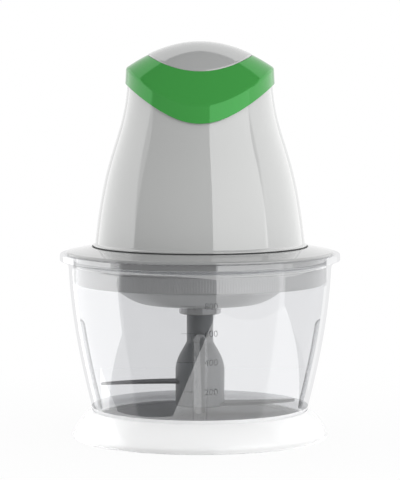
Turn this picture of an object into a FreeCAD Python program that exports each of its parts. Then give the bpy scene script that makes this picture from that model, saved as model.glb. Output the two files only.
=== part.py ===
import FreeCAD, Part
import math
import os
from FreeCAD import Vector

# Electric mini chopper: a one litre bowl on an anti-slip base, a push-in lid,
# and a bell-shaped motor unit whose moulded top is pressed with the palm.
# Millimetres, +Z up, the origin at the centre of the foot, the front towards -Y.

# Clearances
seat_gap = 0.3
running_gap = 0.3
shaft_gap = 0.05
fit_gap = 0.1

# Construction: how far cuts run past a face, and how far fused bodies enter each other
overshoot = 1.0
long_cut = 60.0
root = 0.2

# Anti-slip base
base_r = 72.2
base_height = 15.3
base_wall = 3.2
base_floor_z = 7.4
base_floor_thickness = 2.6
base_bulge = 1.1
foot_ring_width = 2.0
foot_ring_height = 1.8
foot_ring_proud = 0.6
pad_r = 56.5
pad_thickness = 1.6
pad_chamfer = 0.5

# Bowl
bowl_wall = 3.2
bowl_floor_thickness = 3.1
bowl_foot_r = 58.8
bowl_low_r = 61.3
bowl_low_rise = 5.3
bowl_rim_r = 74.1
bowl_belly_low_r = 67.9
bowl_belly_high_r = 72.9
bowl_wall_height = 78.0
bowl_lip_r = 79.1
bowl_lip_height = 4.6
bowl_lip_band = 4.0
bowl_lip_round = 0.9
bowl_lip_swell = 1.3
bowl_inner_round = 3.3
rim_ledge_drop = 0.8
rim_recess_r = 71.75
rim_recess_depth = 16.6
rib_round_r = 4.6
rib_depth = 2.6
rib_top_rise = 52.0
rib_count = 4

# Blade spindle and thrust washer
spindle_r = 3.0
spindle_length = 52.0
spindle_root = 1.8
spindle_boss_r = 5.6
spindle_boss_height = 7.0
spindle_boss_flare = 0.7
washer_r = 5.3
washer_thickness = 1.0

# Blade assembly
hub_r = 13.9
hub_floor_gap = 2.0
hub_chamfer = 1.5
hub_drum_height = 20.1
hub_shoulder_height = 16.4
hub_neck_r = 7.5
hub_neck_length = 17.1
hub_skirt_gap = 0.8
bush_wall = 2.0
bush_length = 40.4
drive_flat = 9.0
drive_length = 5.0
blade_thickness = 1.3
blade_eye_r = 11.0
blade_root_half = 8.6
blade_sweep = 10.5
blade_tip_width = 4.5
blade_belly = 1.6
blade_bevel_width = 3.0
blade_bevel_depth = 0.9
upper_blade_rise = 13.9
upper_blade_reach = 56.6
upper_blade_tilt = -0.5
lower_blade_rise = 1.4
lower_blade_reach = 55.1
lower_blade_tilt = -0.3

# Lid
lid_wall = 2.2
lid_flange_r = 75.5
lid_flange_edge = 1.8
lid_flange_round = 0.8
lid_collar_r = 71.1
lid_collar_depth = 16.6
lid_well_r = 56.0
lid_pan_r = 30.0
lid_pan_depth = 32.3
lid_pan_bend_r = 48.6
lid_pan_bend_rise = 8.7
lid_pan_side_rise = 18.7
lid_pan_sweep = 8.0
lid_pan_lean = 4.6
lid_pan_lean_rise = 3.2
lid_socket_r = 11.9
lid_socket_bore_r = 8.3
lid_socket_depth = 5.9
lid_rib_count = 12
lid_rib_thickness = 1.6
lid_rib_height = 9.0
lid_ceiling = 0.9
lid_rim_bead = 0.6
lid_key_count = 4
lid_key_width = 5.0
lid_key_depth = 1.0
lid_key_height = 10.0
seal_height = 2.6
seal_depth = 1.0
seal_lip = 0.3
seal_rise = 10.4

# Motor housing
seam_z = 107.3
seam_ring_r = 60.9
seam_ring_width = 3.0
seam_ring_height = 0.8
bell_foot_r = 59.2
bell_bead = 1.2
bell_bead_height = 1.9
bell_neck_r = 40.3
bell_height = 106.0
bell_low_handle = 64.4
bell_low_lean = 6.8
bell_high_handle = 50.8
bell_wall = 2.8
rebate_height = 2.1
rebate_depth = 1.4
vent_count = 11
vent_width = 1.9
vent_height = 12.0
vent_rise = 10.0
vent_step_deg = 5.625
deck_rise = 77.4
deck_thickness = 2.2

# Press cap
cap_travel = 2.0
cap_proud = 1.2
cap_lip_wall = 0.48
cap_lip_height = 3.4
cap_thickness = 2.4
cap_top_z = 222.6
cap_edge_round = 1.0
cap_slope_room = 0.5
crown_side = 0.008376
crown_front = 0.01832
skirt_front = 0.01753
skirt_drop = 8.4
neck_recess = 1.0
neck_shoulder = 1.0
disc_r = 29.3
disc_hairline = 0.25
disc_proud = 0.5
disc_depth = 1.7
disc_round = 0.6
guide_x = 24.0
guide_post_r = 3.3
guide_tube_wall = 1.4
guide_tube_top_rise = 15.3
guide_tube_below = 3.5
spring_seat_r = 7.5
spring_seat_rise = 8.3
spring_mean_r = 6.2
spring_wire = 1.0
spring_turns = 4
spring_length = 10.6
cap_sleeve_r = 7.4
cap_washer_r = 4.8
cap_washer_thickness = 1.0
cap_screw_r = 1.25
cap_screw_length = 10.0
cap_screw_head_r = 2.6
cap_screw_head = 1.8

# Switch under the cap
switch_length = 28.0
switch_width = 10.0
switch_height = 15.6
switch_lug_thickness = 2.2
switch_lug_height = 10.0
switch_lug_half = 13.0
switch_peg_r = 1.5
switch_peg_x = 9.5
switch_peg_rise = 3.4
lever_hinge_x = -12.0
lever_hinge_rise = 1.2
lever_reach = 23.0
lever_width = 5.0
lever_thickness = 0.6
lever_rise_rad = 0.105
lever_curl_r = 1.3
lever_pin_r = 0.6
plunger_x = 8.0
plunger_r = 2.4
switch_button_x = -6.0
switch_button_r = 1.2
switch_button_length = 4.5
switch_button_room = 1.2
lever_ear_half = 1.8
lever_ear_rise = 1.4

# Gearbox
gear_module = 0.9
pressure_angle_deg = 25.0
sun_teeth = 12
planet_teeth = 18
ring_teeth = 48
planet_count = 3
tooth_backlash = 0.12
tooth_top = 0.9
tooth_bottom = 1.25
gear_face = 7.0
ring_rim_r = 24.9
cup_r = 27.2
cup_wall = 2.2
cup_floor = 2.2
cup_ledge = 2.1
cup_bottom_z = 78.6
carrier_r = 18.5
carrier_thickness = 2.4
carrier_bite_r = 6.0
carrier_bite_out = 2.5
carrier_pin_lift = 0.4
planet_pin_r = 2.0
output_shaft_r = 3.0
output_bush_wall = 2.4
output_bush_flange = 0.8
coupling_r = 7.6
coupling_length = 7.0
coupling_socket = 4.6

# Motor base cover
cover_wall = 2.0
cover_floor_z = 89.4
cover_floor_thickness = 2.2
cover_corner_r = 50.5
cover_corner_rise = 7.6
cover_fit = 0.4
cup_rise = 4.8
cover_screw_circle_r = 44.0
cover_boss_r = 4.2
cover_screw_r = 1.9
cover_screw_head_r = 3.2
cover_screw_head = 2.4
cover_screw_length = 26.0
cover_screw_seat = 2.4
cover_boss_drop = 1.8
bell_boss_top_rise = 18.0
boss_web = 2.0
gear_screw_circle_r = 29.8
gear_lug_r = 3.4
gear_screw_r = 1.25
gear_screw_head_r = 2.4
gear_screw_head = 1.8
gear_screw_length = 6.2
bearing_cover_thickness = 2.4
bearing_seat_rise = 0.4
bearing_seat_wall = 3.0

# Motor
stack_z = 118.0
stack_height = 28.0
stator_half = 30.0
stator_corner_r = 36.0
pole_r = 17.2
window_r = 24.5
window_half_deg = 38.0
coil_overhang = 8.0
coil_inner_r = 17.7
coil_outer_r = 24.0
coil_end_deg = 4.0
bolt_circle_r = 31.7
bolt_r = 1.5
bolt_head_r = 2.8
bolt_head = 2.4
bolt_grip = 10.0
post_r = 4.0
isolator_r = 4.4
isolator_height = 4.0
shaft_r = 4.0
shaft_tail_r = 2.5
shaft_top_z = 177.0
rotor_r = 16.8
rotor_slots = 12
slot_width = 2.4
slot_depth = 5.0
winding_inset = 1.4
winding_overhang = 7.0
commutator_r = 9.5
commutator_z = 156.0
commutator_height = 10.0
commutator_riser = 2.0
commutator_riser_r = 11.0
commutator_bars = 24
commutator_slit = 0.5
fan_r = 24.0
fan_plate = 1.0
fan_height = 4.6
fan_blades = 9
fan_blade_thickness = 1.2
fan_hub_r = 7.0
fan_lean_deg = 24.0
fan_rise = 0.8
lower_bearing_r = 11.0
lower_bearing_height = 7.0
upper_bearing_r = 9.5
upper_bearing_height = 6.0
bearing_groove = 0.5
bearing_race = 1.8
bridge_hub_r = 13.0
bridge_hub_wall_z = 166.9
bridge_hub_height = 8.5
bridge_arm_width = 8.0
bridge_leg_r = 4.2
bridge_arm_thickness = 4.0
bridge_arm_drop = 1.4
brush_width = 5.0
brush_height = 8.0
brush_length = 13.0
brush_arm_thickness = 2.0
brush_arm_width = 12.0
brush_arm_reach = 31.0
brush_rise = 0.5
holder_wall = 1.2
holder_length = 20.0
holder_gap = 1.3
brush_spring_r = 1.9
brush_spring_wire = 0.6
brush_spring_turns = 4
upper_isolator_height = 2.6
deck_boss_r = 13.3
capacitor_length = 18.0
capacitor_width = 8.0
capacitor_height = 12.0
capacitor_y = 28.0
capacitor_round = 1.0

# Cord gland at the back
gland_z = 163.0
gland_face_y = 50.0
gland_boss_r = 9.0
gland_neck_r = 5.8
gland_flange_r = 7.8
gland_flange = 2.2
gland_bore_r = 3.4
gland_depth = 7.0
gland_nose = 3.0
gland_clip_r = 7.0
gland_clip = 1.4

# Heights that follow from the sizes above
base_floor_top = base_floor_z + base_floor_thickness
bowl_bottom_z = base_floor_top + pad_thickness + seat_gap
bowl_floor_top = bowl_bottom_z + bowl_floor_thickness
bowl_low_z = bowl_bottom_z + bowl_low_rise
bowl_rim_z = bowl_low_z + bowl_wall_height
rim_ledge_z = bowl_rim_z + bowl_lip_height + bowl_lip_band - rim_ledge_drop
lid_underside_z = rim_ledge_z + seat_gap
boss_top_z = bowl_floor_top + spindle_boss_height
washer_z = boss_top_z + seat_gap
bush_z = washer_z + washer_thickness + seat_gap
hub_z = bowl_floor_top + hub_floor_gap
drum_top_z = hub_z + hub_drum_height
neck_z = drum_top_z + hub_shoulder_height
hub_top_z = neck_z + hub_neck_length
well_top_z = seam_z - seat_gap
pan_z = well_top_z + lid_rim_bead - lid_pan_depth
bell_z = seam_z + seam_ring_height
bell_start_z = bell_z + bell_bead_height
deck_z = bell_z + deck_rise
deck_top = deck_z + deck_thickness
cup_floor_top = cup_bottom_z + cup_floor
bush_flange_top = cup_floor_top + output_bush_flange
carrier_z = bush_flange_top + running_gap
planet_z = carrier_z + carrier_thickness + running_gap
ring_z = planet_z - running_gap
ring_height = gear_face + 2 * running_gap
cover_floor_top = cover_floor_z + cover_floor_thickness
cup_top = cover_floor_z + cup_rise
bearing_plate_top = cup_top + bearing_cover_thickness
stack_top = stack_z + stack_height
sun_pitch_r = gear_module * sun_teeth / 2
planet_pitch_r = gear_module * planet_teeth / 2
ring_pitch_r = gear_module * ring_teeth / 2
planet_circle_r = sun_pitch_r + planet_pitch_r
spigot_r = lid_well_r - cover_fit
lower_bearing_z = bearing_plate_top + bearing_seat_rise
cover_rim_r = bell_foot_r - rebate_depth - seat_gap
cover_rim_top = bell_z + rebate_height - seat_gap

up = Vector(0, 0, 1)
origin = Vector(0, 0, 0)


def at_angle(radius, degrees, z=0.0):
    """The point at a radius and an angle round the main axis."""
    turn = math.radians(degrees)
    return Vector(radius * math.cos(turn), radius * math.sin(turn), z)


def around(count, start_deg=0.0):
    """Evenly spaced angles round the main axis."""
    return [start_deg + 360.0 * n / count for n in range(count)]


def section_point(place):
    """A point of a half section, given as radius and height."""
    return Vector(place[0], 0, place[1])


def half_section(start, *steps):
    """A closed face. A step is a point, ("arc", middle, end) or ("bend", handle, handle, end)."""
    edges = []
    here = section_point(start)
    for step in steps:
        if step[0] == "arc":
            middle, end = section_point(step[1]), section_point(step[2])
            edges.append(Part.Arc(here, middle, end).toShape())
        elif step[0] == "bend":
            poles = [here] + [section_point(place) for place in step[1:]]
            curve = Part.BezierCurve()
            curve.setPoles(poles)
            end = poles[-1]
            edges.append(curve.toShape())
        else:
            end = section_point(step)
            edges.append(Part.LineSegment(here, end).toShape())
        here = end
    if here.distanceToPoint(section_point(start)) > 1e-6:
        edges.append(Part.LineSegment(here, section_point(start)).toShape())
    return Part.Face(Part.Wire(edges))


def turned(start, *steps):
    """A solid turned about the main axis from its half section."""
    return half_section(start, *steps).revolve(origin, up, 360)


def ring(outer_r, inner_r, z, height):
    """A plain ring about the main axis."""
    body = Part.makeCylinder(outer_r, height, Vector(0, 0, z))
    return body.cut(Part.makeCylinder(inner_r, height, Vector(0, 0, z)))


def disc_at(place, radius, height):
    """An upright cylinder that stands on a place."""
    return Part.makeCylinder(radius, height, place)


def block(x_low, x_high, y_low, y_high, z_low, z_high):
    """A box between six limits."""
    size = (x_high - x_low, y_high - y_low, z_high - z_low)
    return Part.makeBox(*size, Vector(x_low, y_low, z_low))


def spun(shape, degrees):
    """A copy turned about the main axis."""
    copy = shape.copy()
    copy.rotate(origin, up, degrees)
    return copy


def save(name, shape):
    """Write one piece, or one group of like pieces."""
    shape.exportStep("parts/" + name + ".step")


def below_crown(top_z, side, front):
    """Everything under the crown z = top - side x squared - front y squared."""
    half = lid_flange_r
    squares = (half * half, -half * half, half * half)
    places = (-half, 0.0, half)
    surface = Part.BezierSurface()
    surface.increase(2, 2)
    for i in range(3):
        for j in range(3):
            z = top_z - side * squares[i] - front * squares[j]
            surface.setPole(i + 1, j + 1, Vector(places[i], places[j], z))
    return surface.toShape().extrude(Vector(0, 0, -cap_top_z))


def on_crown(edge, top_z):
    """Whether the middle of an edge lies on the crown of that height."""
    middle = edge.valueAt((edge.FirstParameter + edge.LastParameter) / 2)
    surface_z = top_z - crown_side * middle.x ** 2 - crown_front * middle.y ** 2
    return abs(middle.z - surface_z) < 0.01


def base_pieces():
    """The flared base, the rubber pad on its floor and the ring it stands on."""
    lip_outer = (bowl_low_r + 1.3, base_height - 0.9)
    lip_top = (bowl_low_r - 0.2, base_height)
    floor_r = bowl_foot_r + 0.9
    slope = math.atan2(base_r - lip_outer[0], base_height - foot_ring_proud)
    middle_r = (base_r + lip_outer[0]) / 2 + base_bulge * math.cos(slope)
    middle_z = (foot_ring_proud + lip_outer[1]) / 2 + base_bulge * math.sin(slope)
    inner_low = (base_r - base_wall, foot_ring_proud)
    inner_middle = (middle_r - base_wall * 0.8, middle_z - base_wall * 0.85)
    inner_top = (floor_r + base_wall * 0.8, base_floor_z)
    body = turned(
        (base_r, foot_ring_proud),
        ("arc", (middle_r, middle_z), lip_outer),
        ("arc", (bowl_low_r + 0.7, base_height - 0.15), lip_top),
        (floor_r, bowl_bottom_z),
        (floor_r, base_floor_top),
        (0, base_floor_top),
        (0, base_floor_z),
        inner_top,
        ("arc", inner_middle, inner_low),
    )
    ring_r = base_r - (base_wall - foot_ring_width) / 2
    foot_ring = ring(ring_r, ring_r - foot_ring_width, 0, foot_ring_height)
    groove = ring(ring_r, ring_r - foot_ring_width, foot_ring_proud, foot_ring_height - foot_ring_proud)
    save("anti_slip_base", body.cut(groove))
    save("foot_ring", foot_ring)
    save(
        "base_pad",
        turned(
            (0, base_floor_top),
            (pad_r, base_floor_top),
            (pad_r, base_floor_top + pad_thickness - pad_chamfer),
            (pad_r - pad_chamfer, base_floor_top + pad_thickness),
            (0, base_floor_top + pad_thickness),
        ),
    )


def bowl_curve(inset):
    """The bowl's wall as a bend: start, two handles and end, moved in by a thickness."""
    third = bowl_wall_height / 3
    return (
        (bowl_low_r - inset, bowl_low_z),
        (bowl_belly_low_r - inset, bowl_low_z + third),
        (bowl_belly_high_r - inset, bowl_low_z + 2 * third),
        (bowl_rim_r - inset, bowl_rim_z),
    )


def bowl_radius(inset, z):
    """The wall's radius at a height."""
    t = (z - bowl_low_z) / bowl_wall_height
    shares = ((1 - t) ** 3, 3 * t * (1 - t) ** 2, 3 * t * t * (1 - t), t ** 3)
    return sum(share * place[0] for share, place in zip(shares, bowl_curve(inset)))


def bowl_cavity(inset, floor_z):
    """The room inside the wall, up to the step under the rim."""
    start, low, high, end = bowl_curve(inset)
    return turned(
        (0, floor_z),
        (start[0] - bowl_inner_round, floor_z),
        ("arc", (start[0] - 1.0, floor_z + 0.75), start),
        ("bend", low, high, end),
        (0, end[1]),
    )


def bowl_pieces():
    """The clear bowl with its lip, ribs and centre boss, and the steel spindle."""
    start, low, high, end = bowl_curve(0)
    lip_low_z = bowl_rim_z + bowl_lip_height
    lip_top_z = lip_low_z + bowl_lip_band
    outside = turned(
        (0, bowl_bottom_z),
        (bowl_foot_r - 0.8, bowl_bottom_z),
        ("arc", (bowl_foot_r + 0.3, bowl_bottom_z + 0.4), (bowl_foot_r + 0.8, bowl_bottom_z + 1.4)),
        start,
        ("bend", low, high, end),
        ("arc", (bowl_rim_r + bowl_lip_swell, lip_low_z - 1.5), (bowl_lip_r - 0.6, lip_low_z)),
        (bowl_lip_r, lip_low_z + 0.6),
        (bowl_lip_r, lip_top_z - bowl_lip_round),
        (bowl_lip_r - bowl_lip_round, lip_top_z),
        (lid_flange_r + 1.0, lip_top_z),
        (lid_flange_r + 0.5, rim_ledge_z),
        (0, rim_ledge_z),
    )
    recess_z = rim_ledge_z - rim_recess_depth
    recess = disc_at(Vector(0, 0, recess_z), rim_recess_r, rim_recess_depth)
    cavity = bowl_cavity(bowl_wall, bowl_floor_top)
    trimmed = cavity.common(disc_at(Vector(0, 0, 0), base_r, recess_z + fit_gap))
    body = outside.cut(trimmed).cut(recess)

    rib_low_z = bowl_floor_top - 1.0
    rib_top_z = bowl_floor_top + rib_top_rise - rib_round_r
    limit = bowl_cavity(bowl_wall - 1.2, bowl_floor_top - 1.0)
    stations = 5
    rings = []
    for n in range(stations):
        z = rib_low_z + (rib_top_z - rib_low_z) * n / (stations - 1)
        reach = bowl_radius(bowl_wall, z) + rib_round_r - rib_depth
        rings.append(Part.Wire(Part.Circle(Vector(0, -reach, z), up, rib_round_r).toShape()))
    rib = Part.makeLoft(rings, True)
    crown = Part.makeSphere(rib_round_r, Vector(0, -reach, rib_top_z))
    rib = rib.fuse(crown).common(limit)
    for turn in around(rib_count):
        body = body.fuse(spun(rib, turn))

    boss = Part.makeCone(
        spindle_boss_r + spindle_boss_flare, spindle_boss_r, spindle_boss_height + 0.5,
        Vector(0, 0, bowl_floor_top - 0.5),
    )
    spindle_z = bowl_floor_top - spindle_root
    spindle = turned(
        (0, spindle_z),
        (spindle_r, spindle_z),
        (spindle_r, spindle_z + spindle_length - 1.0),
        (spindle_r - 1.0, spindle_z + spindle_length),
        (0, spindle_z + spindle_length),
    )
    body = body.fuse(boss).cut(spindle)
    save("bowl", body.removeSplitter())
    save("spindle_pin", spindle)
    save("thrust_washer", ring(washer_r, spindle_r + fit_gap, washer_z, washer_thickness))


def blade_outline(reach, inset, z):
    """The crescent seen from above, its cutting edge moved back by an inset."""
    tip_x = math.sqrt(reach ** 2 - blade_sweep ** 2)
    nose_inset = inset * blade_tip_width / (2 * blade_root_half)
    tip = Vector(tip_x, blade_sweep, z)
    nose = Vector(tip_x - 1.6, blade_sweep - blade_tip_width + nose_inset, z)
    heel_front = Vector(2.0, -blade_root_half + inset, z)
    heel_back = Vector(2.0, blade_root_half, z)
    bow = Vector(2.0, -blade_belly - 3.0, 0)
    hollow = Vector(2.0, -blade_belly - 1.4, 0)
    front_edge = Part.Arc(heel_front, (heel_front + nose) * 0.5 + bow, nose).toShape()
    tip_edge = Part.Arc(nose, (nose + tip) * 0.5 + Vector(0.6, -0.2, 0), tip).toShape()
    back_edge = Part.Arc(tip, (heel_back + tip) * 0.5 + hollow, heel_back).toShape()
    close_edge = Part.LineSegment(heel_back, heel_front).toShape()
    return Part.Wire([front_edge, tip_edge, back_edge, close_edge])


def blade(reach, rise, tilt, turn):
    """One crescent blade: an eye round the bush, a ground belly in front and a hollow back edge."""
    flat_height = blade_thickness - blade_bevel_depth
    flat = Part.Face(blade_outline(reach, 0, 0)).extrude(Vector(0, 0, flat_height))
    ground = Part.makeLoft(
        [blade_outline(reach, 0, flat_height), blade_outline(reach, blade_bevel_width, blade_thickness)],
        True,
        True,
    )
    eye = disc_at(origin, blade_eye_r, blade_thickness)
    shape = flat.fuse(ground).fuse(eye)
    shape = shape.cut(disc_at(Vector(0, 0, -1), spindle_r + bush_wall + 0.6, 4)).removeSplitter()
    shape.rotate(origin, Vector(0, 1, 0), tilt)
    shape.rotate(origin, up, turn)
    shape.translate(Vector(0, 0, hub_z + rise - blade_thickness / 2))
    return shape


def hexagon(across, z, height):
    """An upright hexagonal bar."""
    corner_r = across / math.sqrt(3)
    corners = [at_angle(corner_r, turn, z) for turn in around(6, 30)]
    return Part.Face(Part.makePolygon(corners + corners[:1])).extrude(Vector(0, 0, height))


def blade_pieces():
    """The moulded hub with its drive end, the bush it turns on, and two steel blades."""
    bush_r = spindle_r + bush_wall
    skirt_r = spindle_boss_r + hub_skirt_gap
    shoulder = hub_shoulder_height
    drum = turned(
        (0, hub_z),
        (hub_r - hub_chamfer, hub_z),
        (hub_r, hub_z + hub_chamfer),
        (hub_r, drum_top_z),
        (
            "bend",
            (hub_r, drum_top_z + shoulder * 0.42),
            (hub_neck_r + 2.2, drum_top_z + shoulder * 0.72),
            (hub_neck_r, neck_z),
        ),
        (hub_neck_r, hub_top_z - 0.5),
        (hub_neck_r - 0.5, hub_top_z),
        (0, hub_top_z),
    )
    drive = hexagon(drive_flat, hub_top_z - 0.5, drive_length + 0.5)
    bush_bore = disc_at(Vector(0, 0, hub_z), bush_r, bush_z + bush_length - hub_z)
    spindle_room = disc_at(Vector(0, 0, hub_z), spindle_r + 0.5, spindle_length - hub_floor_gap + 0.6)
    skirt = disc_at(Vector(0, 0, hub_z - 1), skirt_r, bush_z - hub_z + 1)
    upper = blade(upper_blade_reach, upper_blade_rise, -upper_blade_tilt, 180)
    lower = blade(lower_blade_reach, lower_blade_rise, lower_blade_tilt, 0)
    hub = drum.fuse(drive).cut(bush_bore).cut(spindle_room).cut(skirt)
    lower = lower.cut(disc_at(Vector(0, 0, hub_z - 2), skirt_r + 0.1, 12))
    save("blade_hub", hub.cut(upper).cut(lower))
    save("upper_blade", upper)
    save("lower_blade", lower)
    save("hub_bush", ring(bush_r, spindle_r + shaft_gap, bush_z, bush_length))


def lid_pieces():
    """The push-in lid: flange, sealing collar, well for the motor unit and drive socket."""
    flange_top_z = well_top_z + lid_rim_bead
    flange_in_r = seam_ring_r + 0.3
    edge_z = lid_underside_z + lid_flange_edge
    ceiling_z = lid_underside_z + lid_ceiling
    collar_z = lid_underside_z - lid_collar_depth
    collar_in_r = lid_collar_r - lid_wall
    well_out_r = lid_well_r + lid_wall
    side_z = pan_z + lid_pan_side_rise
    bend_z = pan_z + lid_pan_bend_rise
    socket_z = pan_z - lid_socket_depth
    lean = lid_pan_lean
    lean_rise = lid_pan_lean_rise
    pan_in_r = lid_pan_bend_r - lid_wall / 2
    pan_in_z = bend_z + lid_wall
    pan_handle_out = (well_out_r, side_z - 6.5)
    pan_handle_in = (lid_well_r, side_z - 5.6)
    body = turned(
        (lid_well_r, well_top_z),
        (flange_in_r, well_top_z),
        (flange_in_r, flange_top_z),
        (lid_flange_r - lid_flange_round, edge_z),
        ("arc", (lid_flange_r - 0.2, edge_z - 0.35), (lid_flange_r, edge_z - lid_flange_round)),
        (lid_flange_r, lid_underside_z + 0.3),
        (lid_flange_r - 0.3, lid_underside_z),
        (lid_collar_r, lid_underside_z),
        (lid_collar_r, collar_z + 0.6),
        (lid_collar_r - 0.6, collar_z),
        (collar_in_r, collar_z),
        (collar_in_r, ceiling_z),
        (well_out_r, ceiling_z),
        (well_out_r, side_z),
        ("bend", pan_handle_out, (lid_pan_bend_r + lean, bend_z + lean_rise), (lid_pan_bend_r, bend_z)),
        (
            "bend",
            (lid_pan_bend_r - lean, bend_z - lean_rise),
            (lid_pan_r + lid_pan_sweep, pan_z),
            (lid_pan_r, pan_z),
        ),
        (lid_socket_r, pan_z),
        (lid_socket_r, socket_z),
        (lid_socket_bore_r, socket_z),
        (lid_socket_bore_r, pan_z + lid_wall),
        (lid_pan_r - 0.5, pan_z + lid_wall),
        (
            "bend",
            (lid_pan_r - 0.5 + lid_pan_sweep, pan_z + lid_wall),
            (pan_in_r - lean, pan_in_z - lean_rise),
            (pan_in_r, pan_in_z),
        ),
        ("bend", (pan_in_r + lean - 0.6, pan_in_z + lean_rise - 0.2), pan_handle_in, (lid_well_r, side_z)),
    )
    for turn in around(lid_rib_count, 15):
        rib = block(
            well_out_r - 0.5, collar_in_r + 0.5,
            -lid_rib_thickness / 2, lid_rib_thickness / 2,
            ceiling_z - lid_rib_height, ceiling_z + 0.5,
        )
        body = body.fuse(spun(rib, turn))
    key_way = block(
        lid_well_r - 2, lid_well_r + lid_key_depth,
        -lid_key_width / 2 - seat_gap, lid_key_width / 2 + seat_gap,
        well_top_z - lid_key_height - seat_gap, well_top_z,
    )
    for turn in around(lid_key_count, 45):
        body = body.cut(spun(key_way, turn))
    seal_z = collar_z + seal_rise
    seal_floor_r = lid_collar_r - seal_depth
    groove = ring(lid_collar_r + 1, seal_floor_r, seal_z, seal_height)
    save("lid", body.cut(groove).removeSplitter())
    lip_r = lid_collar_r + seal_lip
    save(
        "lid_seal",
        turned(
            (seal_floor_r, seal_z),
            (lid_collar_r - 0.2, seal_z),
            (lip_r, seal_z + seal_height * 0.25),
            (lid_collar_r - 0.2, seal_z + seal_height * 0.5),
            (lip_r, seal_z + seal_height * 0.75),
            (lid_collar_r - 0.2, seal_z + seal_height),
            (seal_floor_r, seal_z + seal_height),
        ),
    )


def bell_bend(offset):
    """The bell's outline as a bend, moved outwards."""
    high_z = bell_start_z + bell_height
    return (
        (bell_foot_r + offset, bell_start_z),
        (bell_foot_r - bell_low_lean + offset, bell_start_z + bell_low_handle),
        (bell_neck_r + offset, high_z - bell_high_handle),
        (bell_neck_r + offset, high_z),
    )


def bell_solid(offset):
    """A full bell with its outline moved outwards, straight below and above the bend."""
    start, low, high, end = bell_bend(offset)
    low_z = bell_z - overshoot
    top_z = cap_top_z + disc_r
    return turned(
        (0, low_z), (start[0], low_z), start, ("bend", low, high, end), (end[0], top_z), (0, top_z)
    )


def housing_piece():
    """The bell: a shell with a deck, guide tubes, screw bosses, vents and the gland's boss."""
    bead_r = bell_foot_r + bell_bead
    start, low, high, end = bell_bend(0)
    top_z = cap_top_z + disc_r
    outer = turned(
        (0, bell_z),
        (bead_r - 0.3, bell_z),
        (bead_r, bell_z + 0.3),
        (bead_r, bell_z + 0.7),
        ("arc", (bell_foot_r + 0.35, bell_z + 1.1), start),
        ("bend", low, high, end),
        (end[0], top_z),
        (0, top_z),
    )
    skirt_z = cap_top_z - skirt_drop
    shoulder = below_crown(skirt_z + neck_shoulder, crown_side, skirt_front)
    neck_limit_z = cap_top_z - cap_thickness - cap_travel - 2 * running_gap
    neck_limit = below_crown(neck_limit_z, crown_side, crown_front)
    sleeve = bell_solid(2 * bell_wall).cut(bell_solid(-neck_recess))
    room = bell_solid(-bell_wall)
    rebate_z = bell_z - overshoot
    rebate = disc_at(Vector(0, 0, rebate_z), bell_foot_r - rebate_depth, rebate_height + overshoot)
    shell = outer.cut(room).common(neck_limit).cut(sleeve.cut(shoulder)).cut(rebate)

    deck = disc_at(Vector(0, 0, deck_z), bell_foot_r, deck_thickness)
    deck = deck.common(bell_solid(root - bell_wall))
    boss_z = bridge_hub_wall_z + bridge_hub_height + upper_isolator_height
    boss = ring(deck_boss_r, upper_bearing_r, boss_z, deck_z - boss_z + root)
    housing = shell.fuse(deck).fuse(boss)

    tube_r = guide_post_r + running_gap + guide_tube_wall
    for x in (-guide_x, guide_x):
        low_end = Vector(x, 0, deck_z - guide_tube_below)
        tube = disc_at(low_end, tube_r, guide_tube_below + deck_thickness + guide_tube_top_rise)
        seat = disc_at(Vector(x, 0, deck_z), spring_seat_r, deck_thickness + spring_seat_rise)
        bore = disc_at(low_end, guide_post_r + running_gap, long_cut)
        housing = housing.fuse(tube).fuse(seat).cut(bore)

    lug_y = switch_width / 2 + fit_gap
    for side in (-1, 1):
        y_low, y_high = sorted((side * lug_y, side * (lug_y + switch_lug_thickness)))
        lug = block(
            -switch_lug_half, switch_lug_half,
            y_low, y_high,
            deck_top - root, deck_top + switch_lug_height,
        )
        housing = housing.fuse(lug)
    for x in (-switch_peg_x, switch_peg_x):
        housing = housing.cut(switch_peg(x))

    boss_low_z = cover_boss_top() + seat_gap
    for turn in around(4, 45):
        place = at_angle(cover_screw_circle_r, turn, boss_low_z)
        pillar = disc_at(place, cover_boss_r, bell_z + bell_boss_top_rise - boss_low_z)
        web = block(
            cover_screw_circle_r, bell_foot_r,
            -boss_web / 2, boss_web / 2,
            bell_z + rebate_height + 0.1, bell_z + bell_boss_top_rise,
        )
        web = spun(web, turn).common(bell_solid(root - bell_wall))
        housing = housing.fuse(pillar).fuse(web).cut(cover_screw(turn))

    for n in range(vent_count):
        turn = 90 + (n - (vent_count - 1) / 2) * vent_step_deg
        slot_z = bell_z + vent_rise
        slot = block(
            bell_neck_r, bell_foot_r + bell_bead,
            -vent_width / 2, vent_width / 2,
            slot_z, slot_z + vent_height,
        )
        housing = housing.cut(spun(slot, turn))

    gland_place = Vector(0, gland_face_y, gland_z)
    inwards = Vector(0, -1, 0)
    gland_boss = Part.makeCylinder(gland_boss_r, gland_depth, gland_place, inwards)
    gland_hole = Part.makeCylinder(gland_neck_r, 2 * gland_depth, gland_place - inwards, inwards)
    gland_face = Part.makeCylinder(gland_boss_r, 2 * gland_depth, gland_place, -inwards)
    housing = housing.cut(gland_face).fuse(gland_boss).cut(gland_hole)
    save("motor_housing", housing.removeSplitter())
    save("motor_seal_ring", ring(seam_ring_r, seam_ring_r - seam_ring_width, seam_z, seam_ring_height))


def cover_boss_top():
    """The height at which the cover's screw bosses meet those of the bell."""
    return bell_z - cover_boss_drop


def cover_screw(turn):
    """One self-tapping screw that holds the motor base cover."""
    head_z = cover_floor_z + cover_screw_seat
    place = at_angle(cover_screw_circle_r, turn, head_z)
    head = disc_at(place, cover_screw_head_r, cover_screw_head)
    shank_place = place + Vector(0, 0, cover_screw_head)
    return head.fuse(disc_at(shank_place, cover_screw_r, cover_screw_length))


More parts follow.
